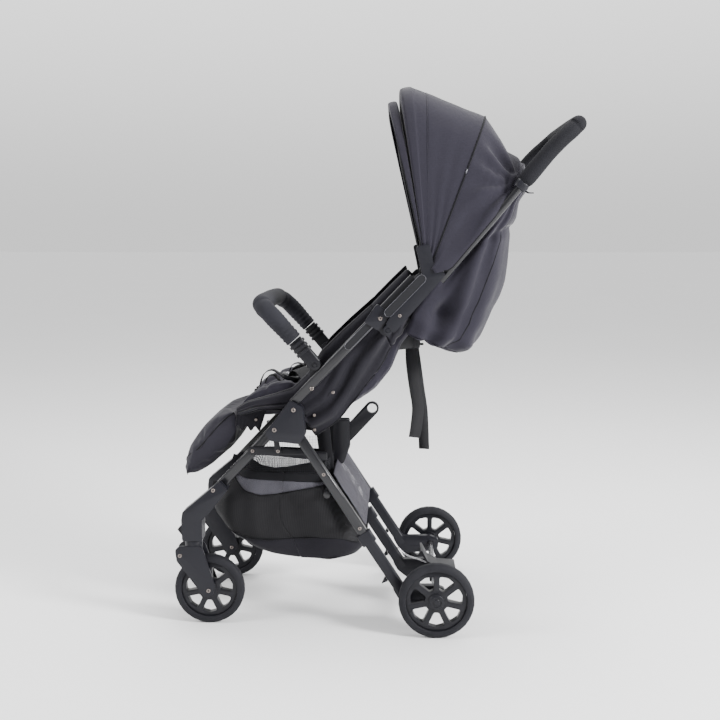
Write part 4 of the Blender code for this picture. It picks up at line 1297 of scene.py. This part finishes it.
ladder = plump("recline_buckle", at(0.0290, -0.0440, 0.5700), (0.0080, 0.0130, 0.0165), 0.0,
               BLACK_PLASTIC, 0.35)
fit(ladder, "backrest")
for z, word in ((0.5790, "upper"), (0.5630, "lower")):
    prong = plump(f"recline_prong_{word}", at(0.0290, -0.0300, z), (0.0035, 0.0062, 0.0024), 0.0,
                  BLACK_PLASTIC, 0.5)
    fit(prong, "backrest")

# ---------------------------------------------------------------------------------------------
# Basket: knitted black mesh walls on a woven floor, with an open net above, bound by tape and
# hung between the front and rear legs. A pale net closes the gap between the rear legs.


def net(name, colour, cell, cover, ribs=0.0):
    """Knitted net: strands on a fine grid, see-through between them. cover is the closed share."""
    made = Surface(name, Specular_IOR_Level=0.3, Roughness=0.7)
    x, y, z = made.axes()
    step = math.tau / cell
    upright = abs(((y + x) * step / 2).sine())
    level = abs((z * step / 2).sine())
    strand = (upright < cover) * 1.0
    rows = (level < cover * 0.8) * 1.0
    solid = made.node("ShaderNodeMath", {"operation": "MAXIMUM"}, {0: strand, 1: rows})
    columns = ((y + x) * ribs).sine() if ribs else made.noise(60.0, 2.0)
    cloud = made.noise(30.0, 3.0)
    pale = tuple(c * 1.9 + 0.002 for c in colour)
    made.set(Base_Color=made.mix(columns * 0.35 + cloud * 0.5, colour, pale), Alpha=solid,
             Normal=made.bump(upright + level, 0.0003, 0.6))
    made.material.surface_render_method = "DITHERED"
    return made.material


OPEN_NET = net("open_net", (0.020, 0.020, 0.024), 0.0036, 0.13)
GREY_NET = net("grey_net", (0.075, 0.073, 0.088), 0.0022, 0.50)
WALL_NET = net("wall_net", (0.0052, 0.0050, 0.0064), 0.0024, 0.84, 1400.0)
HEATHER_NET = net("heather_net", (0.040, 0.038, 0.048), 0.0022, 0.72)
LEVELS = {
    "net_top": (-0.3900, -0.2130, [0.3435, 0.3415, 0.3390, 0.3350, 0.3330], 0.1240),
    "tape_top": (-0.4000, -0.2130, [0.3125, 0.3110, 0.3090, 0.3070, 0.3055], 0.1245),
    "tape_low": (-0.4080, -0.2130, [0.2955, 0.2940, 0.2920, 0.2895, 0.2870], 0.1245),
    "seam": (-0.4180, -0.2040, [0.2950, 0.2670, 0.2600, 0.2630, 0.2690, 0.2750, 0.2800, 0.2850], 0.1245),
    "belly": (-0.4600, -0.1740, [0.2340, 0.2240, 0.2170, 0.2100, 0.2040], 0.1240),
    "wall_low": (-0.4400, -0.1440, [0.1900, 0.1690, 0.1660, 0.1705, 0.1720, 0.1690, 0.1530], 0.1200),
    "floor_side": (-0.4000, -0.1560, [0.1520, 0.1360, 0.1270, 0.1230, 0.1330], 0.1060),
    "floor_mid": (-0.3700, -0.1900, [0.1450, 0.1330, 0.1250, 0.1210, 0.1280], 0.0500),
}
AROUND = 96


def basket_ring(level, swell=0.0):
    front, rear, heights, half = LEVELS[level]
    ring = []
    for step in range(AROUND + 1):
        turn = math.tau * step / AROUND
        squarish = (abs(math.cos(turn)) ** 5 + abs(math.sin(turn)) ** 5) ** 0.2
        u = math.cos(turn) / squarish
        v = math.sin(turn) / squarish
        share = (v + 1) / 2
        z = station([(h, 0.0) for h in heights], share).y
        ring.append(Vector((half * u * (1 + swell), front + (rear - front) * share, z)))
    return ring


def basket_band(name, first, last, material, count, bulge=0.0, waves=0.0, thickness=0.0010, by=None):
    upper = basket_ring(first)
    lower = basket_ring(last)
    through = basket_ring(by) if by else None
    rows = []
    for row in range(count + 1):
        share = row / count
        line = []
        for step, (a, b) in enumerate(zip(upper, lower)):
            spot = a + (b - a) * share
            if through:
                pull = 2.0 * (through[step] - (a + b) / 2)
                spot += pull * (2.0 * share * (1.0 - share))
            out = Vector((spot.x, (spot.y + 0.31) * 0.8, 0.0)).normalized()
            move = bulge * math.sin(math.pi * share)
            move += waves * noise.noise(Vector((spot.x * 12, spot.y * 26, spot.z * 9)))
            line.append(at(*(spot + out * move)))
        rows.append(line)
    made = sheet_of(name, rows, material, thickness)
    fit(made, "frame")
    return made


open_net = basket_band("basket_open_net", "net_top", "tape_top", OPEN_NET, 6, 0.0, 0.0, 0.0006)
tape = basket_band("basket_tape", "tape_top", "tape_low", BLACK_TAPE_AND_GAP_SHADE, 4, 0.0008, 0.0004, 0.0020)
grey_net = basket_band("basket_grey_net", "tape_low", "seam", GREY_NET, 4, 0.0, 0.0005, 0.0006)
wall = basket_band("basket_wall", "seam", "wall_low", WALL_NET, 22, 0.0020, 0.0080, 0.0008, "belly")
floor_band = basket_band("basket_floor_side", "wall_low", "floor_side", DARK_CLOTH, 12, 0.0035, 0.0090,
                         0.0014)
for made, long, wide in ((open_net, 0.84, 0.030), (tape, 0.86, 0.018), (grey_net, 0.88, 0.040),
                         (wall, 0.98, 0.130), (floor_band, 0.92, 0.060)):
    area = flat_area(made)
    max(wide, area / long)
base_ring = basket_ring("floor_side")[:-1]
base_rows = []
for row in range(9):
    share = row / 8
    line = []
    for p in [*base_ring, base_ring[0]]:
        heart = Vector((0.0, -0.285, 0.1215))
        spot = p + (heart - p) * (share * 0.985)
        ripple = 0.0025 * noise.noise(Vector((spot.x * 16, spot.y * 22, 4.0)))
        spot.z -= 0.0040 * math.sin(math.pi * min(share * 1.3, 1.0)) - ripple
        line.append(at(*spot))
    base_rows.append(line)
base = sheet_of("basket_floor", base_rows, DARK_CLOTH, 0.0016)
fit(base, "frame")
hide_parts("basket")
shrinking = [open_net, tape, grey_net, wall, floor_band, base]
for name, level, radius in (("basket_seam_cord", "seam", 0.0016), ("basket_floor_cord", "wall_low", 0.0014)):
    line = [at(*p) + Vector((p.x, p.y + 0.31, 0.0)).normalized() * 0.0012 for p in basket_ring(level)]
    rim = swept(name, line, lambda t: circle(radius, 8), BLACK_TAPE_AND_GAP_SHADE, None, False)
    shrinking.append(fit(rim, "frame"))


def rear_net_at(share, swing):
    sag = 0.0060 * (1 - swing ** 2) * math.sin(math.pi * share) - 0.0040
    ripple = 0.004 * noise.noise(Vector((swing * 3, share * 5, 2.0)))
    return at(0.1500 * swing, -0.2020 + 0.0660 * share + sag, 0.3140 - 0.1060 * share + ripple)


rear_net = sheet_of("rear_leg_net", grid(14, 30, rear_net_at), HEATHER_NET, 0.0008)
fit(rear_net, "frame")
for side, word in SIDES:
    front_tab = [(side * 0.1250, -0.4480, 0.2600), (side * 0.1285, -0.4480, 0.2750),
                 (side * 0.1290, -0.4440, 0.2900)]
    rear_tab = [(side * 0.1230, -0.1800, 0.2080), (side * 0.1450, -0.1720, 0.2120),
                (side * 0.1600, -0.1640, 0.2160)]
    shrinking.append(strap(f"basket_tab_front_{word}", front_tab, 0.0180, lambda t: (0, 1, 0), "frame"))
    strap(f"basket_tab_rear_{word}", rear_tab, 0.0160, lambda t: (0, 0.5, 1), "frame")
for made in shrinking:
    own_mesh(made)
